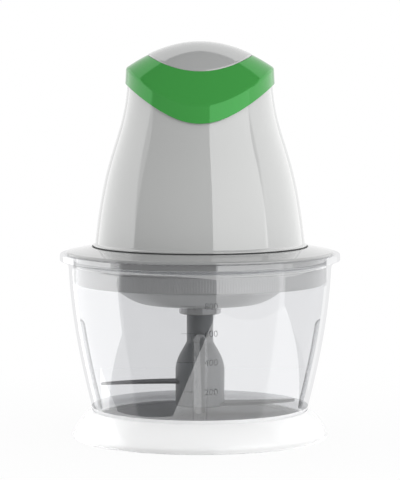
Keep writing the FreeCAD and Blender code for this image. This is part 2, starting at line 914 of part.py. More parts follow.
def gear_screw(turn):
    """One screw of the gearbox cover, head up."""
    top = at_angle(gear_screw_circle_r, turn, bearing_plate_top)
    head = disc_at(top, gear_screw_head_r, gear_screw_head)
    shank = disc_at(top - Vector(0, 0, gear_screw_length), gear_screw_r, gear_screw_length)
    return head.fuse(shank)


def through_bolt(turn):
    """One long bolt that clamps the bridge, the stack and its isolators to a post."""
    top_z = bridge_hub_wall_z + bridge_hub_height - bridge_arm_drop
    low_z = stack_z - isolator_height - bolt_grip
    shank = disc_at(at_angle(bolt_circle_r, turn, low_z), bolt_r, top_z - low_z)
    return shank.fuse(disc_at(at_angle(bolt_circle_r, turn, top_z), bolt_head_r, bolt_head))


def base_cover_pieces():
    """The spigot that closes the bell and enters the lid, with the gear cup in its middle."""
    inner_r = spigot_r - cover_wall
    corner_z = cover_floor_z + cover_corner_rise
    body = turned(
        (0, cup_bottom_z),
        (cup_r - 1.0, cup_bottom_z),
        (cup_r, cup_bottom_z + 1.0),
        (cup_r, cover_floor_z),
        (cover_corner_r, cover_floor_z),
        (spigot_r, corner_z),
        (spigot_r, seam_z + 0.4),
        (cover_rim_r, seam_z + 1.2),
        (cover_rim_r, cover_rim_top),
        (inner_r, cover_rim_top),
        (inner_r, corner_z + 0.6),
        (cover_corner_r - 1.0, cover_floor_top),
        (cup_r, cover_floor_top),
        (cup_r, cup_top),
        (0, cup_top),
    )
    gear_room = disc_at(Vector(0, 0, ring_z), cup_r - cup_wall, long_cut)
    carrier_room = disc_at(Vector(0, 0, cup_floor_top), cup_r - cup_wall - cup_ledge, long_cut)
    bush_seat = disc_at(Vector(0, 0, cup_bottom_z - overshoot), output_shaft_r + output_bush_wall, long_cut)
    body = body.cut(gear_room).cut(carrier_room).cut(bush_seat)
    root_z = cover_floor_top - root
    for turn in around(4):
        lug = disc_at(at_angle(gear_screw_circle_r, turn, root_z), gear_lug_r, cup_top - root_z)
        body = body.fuse(lug.cut(gear_room)).cut(gear_screw(turn))
    for turn in around(4, 45):
        post_place = at_angle(bolt_circle_r, turn, root_z)
        post = disc_at(post_place, post_r, stack_z - isolator_height - root_z)
        boss_place = at_angle(cover_screw_circle_r, turn, root_z)
        boss = disc_at(boss_place, cover_boss_r, cover_boss_top() - root_z)
        head_place = at_angle(cover_screw_circle_r, turn, cover_floor_z - overshoot)
        head_room = disc_at(
            head_place, cover_screw_head_r + root, overshoot + cover_screw_seat + cover_screw_head
        )
        body = body.fuse(post).fuse(boss).cut(head_room)
        body = body.cut(cover_screw(turn)).cut(through_bolt(turn))
    for turn in around(lid_key_count, 45):
        key = block(
            spigot_r - 0.5, spigot_r + lid_key_depth,
            -lid_key_width / 2, lid_key_width / 2,
            well_top_z - lid_key_height, seam_z + 0.3,
        )
        body = body.fuse(spun(key, turn))
    save("motor_base_cover", body.removeSplitter())
    save("cover_screws", Part.makeCompound([cover_screw(turn) for turn in around(4, 45)]))

    bush_r = output_shaft_r + output_bush_wall
    save(
        "output_bush",
        turned(
            (output_shaft_r + shaft_gap, cup_bottom_z),
            (bush_r, cup_bottom_z),
            (bush_r, cup_floor_top),
            (bush_r + 2.0, cup_floor_top),
            (bush_r + 2.0, bush_flange_top),
            (output_shaft_r + shaft_gap, bush_flange_top),
        ),
    )

    plate = turned(
        (0, cup_top),
        (cup_r, cup_top),
        (cup_r, bearing_plate_top),
        (lower_bearing_r + bearing_seat_wall, bearing_plate_top),
        (lower_bearing_r + bearing_seat_wall, lower_bearing_z + lower_bearing_height),
        (0, lower_bearing_z + lower_bearing_height),
    )
    plate = plate.cut(disc_at(Vector(0, 0, lower_bearing_z), lower_bearing_r, long_cut))
    plate = plate.cut(disc_at(Vector(0, 0, cup_top - overshoot), shaft_r + bearing_seat_wall, long_cut))
    spigot_low = ring_z + ring_height + seat_gap
    spigot = ring(ring_rim_r - 0.2, ring_rim_r - 2.9, spigot_low, cup_top - spigot_low + root)
    plate = plate.fuse(spigot)
    for turn in around(4):
        ear = disc_at(at_angle(gear_screw_circle_r, turn, cup_top), gear_lug_r, bearing_cover_thickness)
        ear = ear.cut(disc_at(Vector(0, 0, cup_top), cup_r - 2, bearing_cover_thickness))
        plate = plate.fuse(ear).cut(gear_screw(turn))
    save("gearbox_cover", plate.removeSplitter())
    save("gearbox_screws", Part.makeCompound([gear_screw(turn) for turn in around(4)]))


def involute(angle):
    """The involute function of a pressure angle."""
    return math.tan(angle) - angle


def gear_blank(teeth, tip_r, root_r, tooth_width, turn, z, height):
    """A straight toothed wheel with involute flanks. Its first tooth points along turn."""
    pressure = math.radians(pressure_angle_deg)
    pitch_r = gear_module * teeth / 2
    flank_base_r = pitch_r * math.cos(pressure)
    half_pitch_angle = tooth_width / (2 * pitch_r) + involute(pressure)
    flank_low_r = max(root_r, flank_base_r)
    flank_steps = 3
    half_tooth = []
    if root_r < flank_base_r:
        half_tooth.append((root_r, half_pitch_angle))
    for n in range(flank_steps + 1):
        radius = flank_low_r + (tip_r - flank_low_r) * n / flank_steps
        local = math.acos(min(1.0, flank_base_r / radius))
        half_tooth.append((radius, half_pitch_angle - involute(local)))
    corners = []
    for tooth in around(teeth, turn):
        for radius, half_angle in half_tooth:
            corners.append(at_angle(radius, tooth - math.degrees(half_angle), z))
        for radius, half_angle in reversed(half_tooth):
            corners.append(at_angle(radius, tooth + math.degrees(half_angle), z))
    return Part.Face(Part.makePolygon(corners + corners[:1])).extrude(Vector(0, 0, height))


def gearbox_pieces():
    """The reduction: sun pinion, planets on a carrier, fixed ring and the drive coupling."""
    tooth_pitch = math.pi * gear_module
    tooth_width = tooth_pitch / 2 - tooth_backlash
    top = gear_module * tooth_top
    bottom = gear_module * tooth_bottom

    sun = gear_blank(
        sun_teeth, sun_pitch_r + top, sun_pitch_r - bottom, tooth_width, 0, planet_z, gear_face + 0.8
    )
    save("sun_pinion", sun.cut(disc_at(Vector(0, 0, planet_z - 1), shaft_tail_r, 20)))

    planet_step = 360.0 / planet_teeth
    ring_step = 360.0 / ring_teeth
    for number, turn in enumerate(around(planet_count), start=1):
        phase = turn + 180 + planet_step * (turn * sun_teeth / 360.0 - 0.5)
        planet = gear_blank(
            planet_teeth, planet_pitch_r + top, planet_pitch_r - bottom, tooth_width,
            phase, planet_z, gear_face,
        )
        planet = planet.cut(disc_at(Vector(0, 0, planet_z - 1), planet_pin_r + shaft_gap, 20))
        planet.translate(at_angle(planet_circle_r, turn))
        save("planet_gear_" + str(number), planet)
    ring_phase = ring_step * (180 - planet_step * 0.5) / planet_step
    space_width = tooth_pitch / 2 + tooth_backlash
    spaces = gear_blank(
        ring_teeth, ring_pitch_r + bottom, ring_pitch_r - top, space_width, ring_phase, ring_z, ring_height
    )
    save("ring_gear", disc_at(Vector(0, 0, ring_z), ring_rim_r, ring_height).cut(spaces))

    coupling_z = cup_bottom_z - seat_gap - coupling_length
    shaft_low = coupling_z + coupling_socket + seat_gap
    carrier = disc_at(Vector(0, 0, carrier_z), carrier_r, carrier_thickness)
    for turn in around(planet_count, 60):
        bite_place = at_angle(carrier_r + carrier_bite_out, turn, carrier_z)
        carrier = carrier.cut(disc_at(bite_place, carrier_bite_r, carrier_thickness))
    carrier = carrier.fuse(disc_at(Vector(0, 0, shaft_low), output_shaft_r, carrier_z - shaft_low + root))
    flat = block(
        output_shaft_r * 0.6, coupling_r, -coupling_r, coupling_r, shaft_low, cup_bottom_z - seat_gap
    )
    carrier = carrier.cut(flat)
    pins = []
    for turn in around(planet_count):
        pin_place = at_angle(planet_circle_r, turn, carrier_z + carrier_pin_lift)
        pin = disc_at(pin_place, planet_pin_r, carrier_thickness + gear_face)
        carrier = carrier.cut(pin)
        pins.append(pin)
    save("planet_carrier", carrier.removeSplitter())
    save("planet_pins", Part.makeCompound(pins))

    coupling = disc_at(Vector(0, 0, coupling_z), coupling_r, coupling_length)
    coupling = coupling.cut(hexagon(drive_flat + 2 * running_gap, coupling_z, coupling_socket))
    shaft_hole = disc_at(Vector(0, 0, shaft_low), output_shaft_r, long_cut).cut(flat)
    save("drive_coupling", coupling.cut(shaft_hole))


def sector(inner_r, outer_r, from_deg, to_deg, z, height):
    """A part of a ring between two angles."""
    half = half_section((inner_r, z), (outer_r, z), (outer_r, z + height), (inner_r, z + height))
    half.rotate(origin, up, from_deg)
    return half.revolve(origin, up, to_deg - from_deg)


def bearing(outer_r, inner_r, z, height):
    """A shielded ball bearing: two races with the shields set back between them."""
    race_in = inner_r + bearing_race
    race_out = outer_r - bearing_race
    return turned(
        (inner_r + shaft_gap, z),
        (race_in, z),
        (race_in, z + bearing_groove),
        (race_out, z + bearing_groove),
        (race_out, z),
        (outer_r, z),
        (outer_r, z + height),
        (race_out, z + height),
        (race_out, z + height - bearing_groove),
        (race_in, z + height - bearing_groove),
        (race_in, z + height),
        (inner_r + shaft_gap, z + height),
    )


def stator_pieces():
    """The laminated stack, its two field windings and what clamps it."""
    stack = block(-stator_half, stator_half, -stator_half, stator_half, stack_z, stack_top)
    stack = stack.common(disc_at(Vector(0, 0, stack_z), stator_corner_r, stack_height))
    stack = stack.cut(disc_at(Vector(0, 0, stack_z), pole_r, stack_height))
    for turn in (0, 180):
        window = sector(
            pole_r - 2, window_r, turn - window_half_deg, turn + window_half_deg, stack_z, stack_height
        )
        stack = stack.cut(window)
    isolators = []
    for turn in around(4, 45):
        bolt = through_bolt(turn)
        stack = stack.cut(bolt)
        place = at_angle(bolt_circle_r, turn, stack_z - isolator_height)
        isolators.append(disc_at(place, isolator_r, isolator_height).cut(bolt))
    save("stator_core", stack)
    save("motor_isolators", Part.makeCompound(isolators))
    save("motor_bolts", Part.makeCompound([through_bolt(turn) for turn in around(4, 45)]))

    coil_z = stack_z - coil_overhang
    coil_height = stack_height + 2 * coil_overhang
    pole_gap_z = stack_z - fit_gap
    pole_gap_height = stack_height + 2 * fit_gap
    for name, turn in (("back_field_winding", 0), ("front_field_winding", 180)):
        coil = sector(
            coil_inner_r, coil_outer_r, turn + coil_end_deg, turn + 180 - coil_end_deg, coil_z, coil_height
        )
        pole_half = 90 - window_half_deg + 1.5
        opening = sector(
            coil_inner_r - 1, coil_outer_r + 1,
            turn + 90 - pole_half, turn + 90 + pole_half,
            pole_gap_z, pole_gap_height,
        )
        save(name, coil.cut(opening))


def rotor_pieces():
    """The armature on its shaft, with commutator and cooling fan."""
    fan_z = lower_bearing_z + lower_bearing_height + fan_rise
    tail_top = bearing_plate_top - 1.6
    shaft = disc_at(Vector(0, 0, planet_z), shaft_tail_r, tail_top - planet_z)
    shaft = shaft.fuse(disc_at(Vector(0, 0, tail_top), shaft_r, shaft_top_z - tail_top))
    save("motor_shaft", shaft.removeSplitter())

    core = ring(rotor_r, shaft_r, stack_z, stack_height)
    winding_r = rotor_r - winding_inset
    low_turns = ring(winding_r, shaft_r + 1.2, stack_z - winding_overhang, winding_overhang)
    high_turns = ring(winding_r, shaft_r + 1.2, stack_top, winding_overhang)
    winding = low_turns.fuse(high_turns)
    for turn in around(rotor_slots):
        slot = block(
            rotor_r - slot_depth, rotor_r + 1, -slot_width / 2, slot_width / 2, stack_z, stack_top
        )
        core = core.cut(spun(slot, turn))
        bar = block(
            rotor_r - slot_depth, winding_r - 0.2,
            -slot_width / 2, slot_width / 2,
            stack_z - 0.2, stack_top + 0.2,
        )
        winding = winding.fuse(spun(bar, turn))
    save("rotor_core", core)
    save("rotor_winding", winding.removeSplitter())

    commutator = turned(
        (shaft_r, commutator_z - commutator_riser),
        (commutator_riser_r, commutator_z - commutator_riser),
        (commutator_riser_r, commutator_z),
        (commutator_r, commutator_z),
        (commutator_r, commutator_z + commutator_height),
        (shaft_r, commutator_z + commutator_height),
    )
    for turn in around(commutator_bars):
        slit = block(
            commutator_r - 0.8, commutator_riser_r + 1,
            -commutator_slit / 2, commutator_slit / 2,
            commutator_z - commutator_riser, commutator_z + commutator_height,
        )
        commutator = commutator.cut(spun(slit, turn))
    save("commutator", commutator)

    fan = ring(fan_r, shaft_r, fan_z, fan_plate).fuse(ring(fan_hub_r, shaft_r, fan_z, fan_height))
    for turn in around(fan_blades):
        vane = block(
            fan_hub_r - 0.5, fan_r - 0.6,
            -fan_blade_thickness / 2, fan_blade_thickness / 2,
            fan_z + fan_plate - 0.1, fan_z + fan_height,
        )
        vane.rotate(Vector(fan_hub_r, 0, 0), up, fan_lean_deg)
        vane = vane.common(disc_at(Vector(0, 0, fan_z), fan_r, fan_height + 1))
        fan = fan.fuse(spun(vane, turn))
    save("cooling_fan", fan.removeSplitter())


def coil_spring(mean_r, wire, turns, length):
    """An open coil spring that stands on the origin, one unbroken wire."""
    pitch = (length - wire) / turns
    helix = Part.makeHelix(pitch, pitch * turns, mean_r)
    section = Part.Wire(Part.Circle(Vector(mean_r, 0, 0), Vector(0, 1, 0), wire / 2).toShape())
    spring = Part.Wire(helix.Edges).makePipeShell([section], True, True)
    spring.translate(Vector(0, 0, wire / 2))
    return spring


def brush_pieces():
    """The bearing bridge with its bearing, and the two brushes in their holders."""
    hub_top = bridge_hub_wall_z + bridge_hub_height
    seat_z = hub_top - upper_bearing_height - root
    bridge = disc_at(Vector(0, 0, bridge_hub_wall_z), bridge_hub_r, bridge_hub_height)
    arm_z = hub_top - bridge_arm_drop - bridge_arm_thickness
    for turn in around(4, 45):
        arm = block(
            bridge_hub_r - 2, bolt_circle_r,
            -bridge_arm_width / 2, bridge_arm_width / 2,
            arm_z, arm_z + bridge_arm_thickness,
        )
        leg_place = at_angle(bolt_circle_r, turn, stack_top)
        leg = disc_at(leg_place, bridge_leg_r, arm_z + bridge_arm_thickness - stack_top)
        bridge = bridge.fuse(spun(arm, turn)).fuse(leg)
    brush_mid_z = commutator_z + commutator_height / 2 + brush_rise
    holder_top = brush_mid_z + brush_height / 2 + fit_gap + holder_wall
    for side in (-1, 1):
        x_low, x_high = sorted((side * (bridge_hub_r - 2), side * brush_arm_reach))
        arm = block(
            x_low, x_high,
            -brush_arm_width / 2, brush_arm_width / 2,
            holder_top, holder_top + brush_arm_thickness,
        )
        bridge = bridge.fuse(arm)
    bridge = bridge.cut(disc_at(Vector(0, 0, seat_z), upper_bearing_r, long_cut))
    bridge = bridge.cut(disc_at(Vector(0, 0, bridge_hub_wall_z - overshoot), shaft_r + 2, long_cut))
    for turn in around(4, 45):
        bridge = bridge.cut(through_bolt(turn))
    save("bearing_bridge", bridge.removeSplitter())
    save("upper_bearing", bearing(upper_bearing_r, shaft_r, seat_z, upper_bearing_height))
    save("lower_bearing", bearing(lower_bearing_r, shaft_r, lower_bearing_z, lower_bearing_height))
    save("upper_isolator", ring(deck_boss_r, upper_bearing_r + 0.5, hub_top, upper_isolator_height))

    holder_x = commutator_r + holder_gap
    brush_x = commutator_r + running_gap
    springs = []
    for name, turn in (("right", 0), ("left", 180)):
        half_w = brush_width / 2 + fit_gap
        half_h = brush_height / 2 + fit_gap
        holder = block(
            holder_x, holder_x + holder_length,
            -half_w - holder_wall, half_w + holder_wall,
            brush_mid_z - half_h - holder_wall, holder_top,
        )
        tunnel = block(
            holder_x - 1, holder_x + holder_length - holder_wall,
            -half_w, half_w,
            brush_mid_z - half_h, brush_mid_z + half_h,
        )
        brush = block(
            commutator_r - 1, brush_x + brush_length,
            -brush_width / 2, brush_width / 2,
            brush_mid_z - brush_height / 2, brush_mid_z + brush_height / 2,
        )
        brush = brush.cut(disc_at(Vector(0, 0, commutator_z), brush_x, commutator_height + 5))
        spring_x = brush_x + brush_length + fit_gap
        spring_room = holder_x + holder_length - holder_wall - fit_gap - spring_x
        spring = coil_spring(brush_spring_r, brush_spring_wire, brush_spring_turns, spring_room)
        spring.rotate(origin, Vector(0, 1, 0), 90)
        spring.translate(Vector(spring_x, 0, brush_mid_z))
        save("brush_holder_" + name, spun(holder.cut(tunnel), turn))
        save("carbon_brush_" + name, spun(brush, turn))
        springs.append(spun(spring, turn))
    save("brush_springs", Part.makeCompound(springs))


def switch_peg(x):
    """One peg that holds the switch between its lugs."""
    reach = switch_width / 2 + fit_gap + switch_lug_thickness
    place = Vector(x, -reach, deck_top + switch_peg_rise)
    return Part.makeCylinder(switch_peg_r, 2 * reach, place, Vector(0, 1, 0))


def switch_pieces():
    """The snap switch on the deck, its lever, the lever's pin and its own small button."""
    top_z = deck_top + switch_height
    hinge = Vector(lever_hinge_x, 0, top_z + lever_hinge_rise)
    half_width = switch_width / 2
    body = block(-switch_length / 2, switch_length / 2, -half_width, half_width, deck_top, top_z)
    for side in (-1, 1):
        y_low, y_high = sorted((side * (lever_width / 2 + running_gap), side * half_width))
        ear = block(
            hinge.x - lever_ear_half, hinge.x + lever_ear_half,
            y_low, y_high,
            top_z - root, hinge.z + lever_ear_rise,
        )
        body = body.fuse(ear)
    curl_room = Part.makeCylinder(
        lever_curl_r + running_gap, lever_width + 2 * running_gap,
        hinge - Vector(0, lever_width / 2 + running_gap, 0), Vector(0, 1, 0),
    )
    pin = Part.makeCylinder(lever_pin_r, switch_width, hinge - Vector(0, half_width, 0), Vector(0, 1, 0))
    button_top = button_top_z()
    button = disc_at(
        Vector(switch_button_x, 0, button_top - switch_button_length), switch_button_r, switch_button_length
    )
    well = disc_at(
        Vector(switch_button_x, 0, button_top - switch_button_length - switch_button_room),
        switch_button_r + running_gap, long_cut,
    )
    body = body.cut(curl_room).cut(pin).cut(well)
    for x in (-switch_peg_x, switch_peg_x):
        body = body.cut(switch_peg(x))
    save("switch_body", body.removeSplitter())
    save("switch_pegs", Part.makeCompound([switch_peg(x) for x in (-switch_peg_x, switch_peg_x)]))
    save("lever_pin", pin)
    save("switch_button", button)

    strip = block(
        0, lever_reach, -lever_width / 2, lever_width / 2, -lever_thickness / 2, lever_thickness / 2
    )
    curl_place = Vector(0, -lever_width / 2, 0)
    curl = Part.makeCylinder(lever_curl_r, lever_width, curl_place, Vector(0, 1, 0))
    lever = strip.fuse(curl)
    lever.rotate(origin, Vector(0, 1, 0), -math.degrees(lever_rise_rad))
    lever.translate(hinge)
    eye = Part.makeCylinder(
        lever_pin_r + shaft_gap, lever_width + 2, hinge - Vector(0, lever_width / 2 + 1, 0), Vector(0, 1, 0)
    )
    save("switch_lever", lever.cut(eye).removeSplitter())


def lever_height(x, face):
    """The lever's upper (1) or lower (-1) face above a place along it."""
    hinge_z = deck_top + switch_height + lever_hinge_rise
    return hinge_z + (x - lever_hinge_x) * math.tan(lever_rise_rad) + face * lever_thickness / 2


def button_top_z():
    """The switch button ends just under the lever."""
    return lever_height(switch_button_x, -1) - running_gap


def cap_pieces():
    """The domed cap that the palm presses, its inlaid disc and its return springs."""
    skirt_z = cap_top_z - skirt_drop
    outside = bell_solid(cap_proud)
    under_top = below_crown(cap_top_z, crown_side, crown_front)
    under_skirt = below_crown(skirt_z, crown_side, skirt_front)
    under_lip = below_crown(skirt_z + cap_lip_height, crown_side, skirt_front)
    under_roof = below_crown(cap_top_z - cap_thickness, crown_side, crown_front)
    block_out = outside.common(under_top)
    rim = [edge for edge in block_out.Edges if on_crown(edge, cap_top_z)]
    block_out = block_out.makeFillet(cap_edge_round, rim)
    lip_room = bell_solid(cap_proud - cap_lip_wall).common(under_lip)
    neck_room = bell_solid(cap_slope_room + running_gap - neck_recess)
    cap = block_out.cut(under_skirt).cut(lip_room).cut(neck_room.common(under_roof))

    lip_face_z = deck_top + spring_seat_rise + spring_length + 2 * fit_gap
    post_low = deck_z - guide_tube_below - running_gap
    for x in (-guide_x, guide_x):
        sleeve = disc_at(Vector(x, 0, lip_face_z), cap_sleeve_r, long_cut)
        post = disc_at(Vector(x, 0, post_low), guide_post_r, long_cut)
        cap = cap.fuse(sleeve.common(block_out)).fuse(post.common(block_out))
    plunger_low = lever_height(plunger_x, 1) + running_gap
    plunger_place = Vector(plunger_x, 0, plunger_low + plunger_r)
    plunger = disc_at(plunger_place, plunger_r, long_cut).fuse(Part.makeSphere(plunger_r, plunger_place))
    cap = cap.fuse(plunger.common(block_out))

    recess_floor = below_crown(cap_top_z - disc_depth, crown_side, crown_front)
    recess = disc_at(Vector(0, 0, deck_top), disc_r + disc_hairline, long_cut).cut(recess_floor)
    cap = cap.cut(recess)
    screws = []
    for x in (-guide_x, guide_x):
        cap = cap.cut(cap_screw(x))
        screws.append(cap_screw(x))
    save("press_cap", cap.removeSplitter())
    save("cap_screws", Part.makeCompound(screws))

    disc_top = below_crown(cap_top_z + disc_proud, crown_side, crown_front)
    disc = disc_at(Vector(0, 0, deck_top), disc_r, long_cut).common(disc_top).cut(recess_floor)
    disc_rim = [edge for edge in disc.Edges if on_crown(edge, cap_top_z + disc_proud)]
    save("cap_disc", disc.makeFillet(disc_round, disc_rim))

    for name, x in (("left", -guide_x), ("right", guide_x)):
        spring = coil_spring(spring_mean_r, spring_wire, spring_turns, spring_length)
        spring.translate(Vector(x, 0, deck_top + spring_seat_rise + fit_gap))
        save("return_spring_" + name, spring)


def cap_screw(x):
    """The screw and washer that keep the cap's guide post in its tube."""
    washer_place = Vector(x, 0, deck_z - guide_tube_below - running_gap - cap_washer_thickness)
    washer = disc_at(washer_place, cap_washer_r, cap_washer_thickness)
    shank = disc_at(washer_place, cap_screw_r, cap_screw_length)
    head = disc_at(washer_place - Vector(0, 0, cap_screw_head), cap_screw_head_r, cap_screw_head)
    return washer.fuse(shank).fuse(head)


def gland_piece():
    """The rubber gland that the cord enters by."""
    half = half_section(
        (gland_bore_r, -gland_depth - gland_clip - 0.6),
        (gland_clip_r - 0.6, -gland_depth - gland_clip - 0.2),
        (gland_clip_r, -gland_depth - fit_gap),
        (gland_neck_r - fit_gap, -gland_depth - fit_gap),
        (gland_neck_r - fit_gap, fit_gap),
        (gland_flange_r, fit_gap),
        (gland_flange_r, gland_flange - 0.6),
        (gland_flange_r - 0.8, gland_flange),
        (gland_bore_r + 1.6, gland_flange + gland_nose),
        (gland_bore_r, gland_flange + gland_nose),
    )
    gland = half.revolve(origin, up, 360)
    gland.rotate(origin, Vector(1, 0, 0), -90)
    gland.translate(Vector(0, gland_face_y, gland_z))
    save("cord_gland", gland)


def capacitor_piece():
    """The interference capacitor under the deck."""
    z_low = deck_z - capacitor_height
    half_y = capacitor_width / 2
    can = block(
        -capacitor_length / 2, capacitor_length / 2,
        capacitor_y - half_y, capacitor_y + half_y,
        z_low, deck_z,
    )
    upright = [edge for edge in can.Edges if edge.BoundBox.ZLength > capacitor_height / 2]
    save("suppressor_capacitor", can.makeFillet(capacitor_round, upright))


os.makedirs("parts", exist_ok=True)
base_pieces()
bowl_pieces()
blade_pieces()
lid_pieces()
housing_piece()
base_cover_pieces()
gearbox_pieces()
stator_pieces()
rotor_pieces()
brush_pieces()
switch_pieces()
cap_pieces()
gland_piece()
capacitor_piece()
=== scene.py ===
import math

import bpy
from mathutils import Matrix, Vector


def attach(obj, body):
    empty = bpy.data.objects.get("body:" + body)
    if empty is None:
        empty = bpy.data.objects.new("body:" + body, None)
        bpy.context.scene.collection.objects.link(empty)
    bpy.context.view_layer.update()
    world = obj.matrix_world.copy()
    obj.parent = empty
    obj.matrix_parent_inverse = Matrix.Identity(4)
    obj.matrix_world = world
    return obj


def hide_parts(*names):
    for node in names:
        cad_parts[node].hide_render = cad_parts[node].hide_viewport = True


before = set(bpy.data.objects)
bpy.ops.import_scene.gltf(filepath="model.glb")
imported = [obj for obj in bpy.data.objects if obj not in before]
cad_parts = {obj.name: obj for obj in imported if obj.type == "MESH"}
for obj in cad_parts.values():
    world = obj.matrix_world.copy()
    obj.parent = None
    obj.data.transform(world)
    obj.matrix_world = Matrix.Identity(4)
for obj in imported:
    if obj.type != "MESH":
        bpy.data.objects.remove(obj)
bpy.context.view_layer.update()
mm = 0.001

# Anti-slip base. The chopper stands on a flared skirt moulded in milky plastic. Its floor carries
# the bowl, and its low lip cups the bowl's foot.
base_r = 72.2
base_edge_z = 0.6
base_floor_low = 7.4
base_floor_top = 10.0
foot_ring_top = 1.8
milky_colour = (0.98, 0.983, 0.985, 1.0)


def along(t, start, low, high, end):
    """A value at a share of the way along a bend with two handles."""
    back = 1 - t
    return start * back ** 3 + low * 3 * t * back ** 2 + high * 3 * t * t * back + end * t ** 3


def bend(start, low, high, end, steps):
    """Points along a bend with two handles, without its start."""
    shares = [step / steps for step in range(1, steps + 1)]
    return [tuple(along(t, *places) for places in zip(start, low, high, end)) for t in shares]


def rounded(start, corner, end, steps=4):
    """Points round a corner, without its start."""
    low = tuple(s + (c - s) * 0.6 for s, c in zip(start, corner))
    high = tuple(e + (c - e) * 0.6 for e, c in zip(end, corner))
    return bend(start, low, high, end, steps)


def turned(name, outline, sides=192, closed=True):
    """A piece turned on the lathe: its half section, in mm, is spun about the upright axis."""
    bpy.ops.object.select_all(action="DESELECT")
    radius, height = outline[0]
    bpy.ops.mesh.primitive_plane_add(size=mm, location=(radius * mm, 0, height * mm))
    piece = bpy.context.object
    piece.name = name
    bpy.ops.object.transform_apply(location=True)
    bpy.ops.object.mode_set(mode="EDIT")
    bpy.ops.mesh.merge(type="CENTER")
    path = outline + outline[:1] if closed else outline
    for here, there in zip(path, path[1:]):
        step = ((there[0] - here[0]) * mm, 0, (there[1] - here[1]) * mm)
        bpy.ops.mesh.extrude_vertices_move(TRANSFORM_OT_translate={"value": step})
    bpy.ops.mesh.select_all(action="SELECT")
    bpy.ops.mesh.spin(steps=sides, angle=2 * math.pi, center=(0, 0, 0), axis=(0, 0, 1))
    bpy.ops.mesh.select_all(action="SELECT")
    bpy.ops.mesh.remove_doubles(threshold=0.002 * mm)
    bpy.ops.mesh.normals_make_consistent(inside=False)
    bpy.ops.object.mode_set(mode="OBJECT")
    return piece


def picked(*pieces):
    """Selects these pieces alone, the first of them active."""
    bpy.ops.object.select_all(action="DESELECT")
    for piece in pieces:
        piece.select_set(True)
    bpy.context.view_layer.objects.active = pieces[0]


def smoothed(piece, degrees=32):
    """Smooth faces with crisp edges, flat faces kept flat beside their rounded edges."""
    picked(piece)
    bpy.ops.object.shade_smooth_by_angle(angle=math.radians(degrees))
    bpy.ops.object.modifier_add(type="WEIGHTED_NORMAL")
    piece.modifiers[-1].keep_sharp = True
    bpy.ops.object.modifier_apply(modifier=piece.modifiers[-1].name)
    return piece


def finished(piece, body, slot, material, *nodes):
    """The piece gets its finish, rides on its body and stands for its CAD nodes."""
    piece.data.materials.clear()
    piece.data.materials.append(material)
    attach(piece, body)
    if nodes:
        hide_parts(*nodes)


def wired(tree, node, settings):
    """Each named socket of a node takes a number, a colour or what another node gives."""
    for socket, term in settings.items():
        if isinstance(term, bpy.types.NodeSocket):
            tree.links.new(term, node.inputs[socket])
        else:
            node.inputs[socket].default_value = term
    return node


def added(tree, kind, settings):
    """A new node with its sockets set."""
    return wired(tree, tree.nodes.new(kind), settings)


def ranged(tree, value, from_min=0.0, from_max=1.0, to_min=0.0, to_max=1.0):
    """A value carried from one range to another, and held inside it."""
    ends = {"From Min": from_min, "From Max": from_max, "To Min": to_min, "To Max": to_max}
    return added(tree, "ShaderNodeMapRange", {"Value": value, **ends}).outputs["Result"]


def blank_finish(name, settings):
    """A material with one shader, and the object's own coordinates for its patterns."""
    material = bpy.data.materials.new(name)
    material.use_nodes = True
    tree = material.node_tree
    tree.nodes.clear()
    shader = added(tree, "ShaderNodeBsdfPrincipled", settings)
    output = added(tree, "ShaderNodeOutputMaterial", {"Surface": shader.outputs["BSDF"]})
    place = tree.nodes.new("ShaderNodeTexCoord")
    return material, tree, shader, place.outputs["Object"], output


def grain(tree, shader, place, scale, depth, low_rough, high_rough):
    """Fine grain: a noise lifts the surface a little and varies how rough it is."""
    noise = added(tree, "ShaderNodeTexNoise", {"Scale": scale, "Detail": 4.0, "Vector": place}).outputs["Fac"]
    bump = added(tree, "ShaderNodeBump", {"Strength": depth, "Distance": 0.02 * mm, "Height": noise})
    rough = ranged(tree, noise, to_min=low_rough, to_max=high_rough)
    wired(tree, shader, {"Normal": bump.outputs["Normal"], "Roughness": rough})


def milky_plastic(name, colour):
    """Milky plastic: light spreads in its body, and a little passes, under a smooth outer skin."""
    material, tree, shader, place, output = blank_finish(name, {
        "Base Color": colour,
        "Subsurface Weight": 0.4,
        "Subsurface Radius": (1.0, 1.0, 1.0),
        "Subsurface Scale": 4.0 * mm,
        "Transmission Weight": 0.05,
        "IOR": 1.45,
        "Coat Weight": 1.0,
        "Coat IOR": 1.5,
        "Coat Roughness": 0.02,
    })
    grain(tree, shader, place, 400.0, 0.02, 0.3, 0.4)
    return material


milky_base = milky_plastic("milky_base_plastic", milky_colour)
base_outline = [(base_r - 0.6, base_edge_z)]
base_outline += rounded((base_r - 0.3, base_edge_z), (base_r, base_edge_z), (base_r, base_edge_z + 0.4))
base_outline += bend((base_r, base_edge_z + 0.4), (70.2, 6.2), (66.4, 11.2), (62.6, 14.4), 18)
base_outline += rounded((62.6, 14.4), (61.9, 15.1), (61.1, 15.3))
base_outline += rounded((60.4, 15.0), (60.1, 14.7), (59.7, 11.9))
base_outline += rounded((59.7, 10.6), (59.7, base_floor_top), (59.1, base_floor_top))
base_outline += [(radius, base_floor_top) for radius in (40.0, 20.0, 0.0)]
base_outline += [(radius, base_floor_low) for radius in (0.0, 20.0, 40.0)]
base_outline += rounded((60.6, base_floor_low), (62.2, base_floor_low), (63.4, 6.6))
base_outline += bend((63.4, 6.6), (65.6, 5.2), (67.6, 3.2), (69.0, base_edge_z), 10)
base_outline += [(69.6, base_edge_z), (69.6, foot_ring_top), (base_r - 0.6, foot_ring_top)]
base = smoothed(turned("anti_slip_base_moulding", base_outline))
finished(base, "base", "clear_base", milky_base, "anti_slip_base")

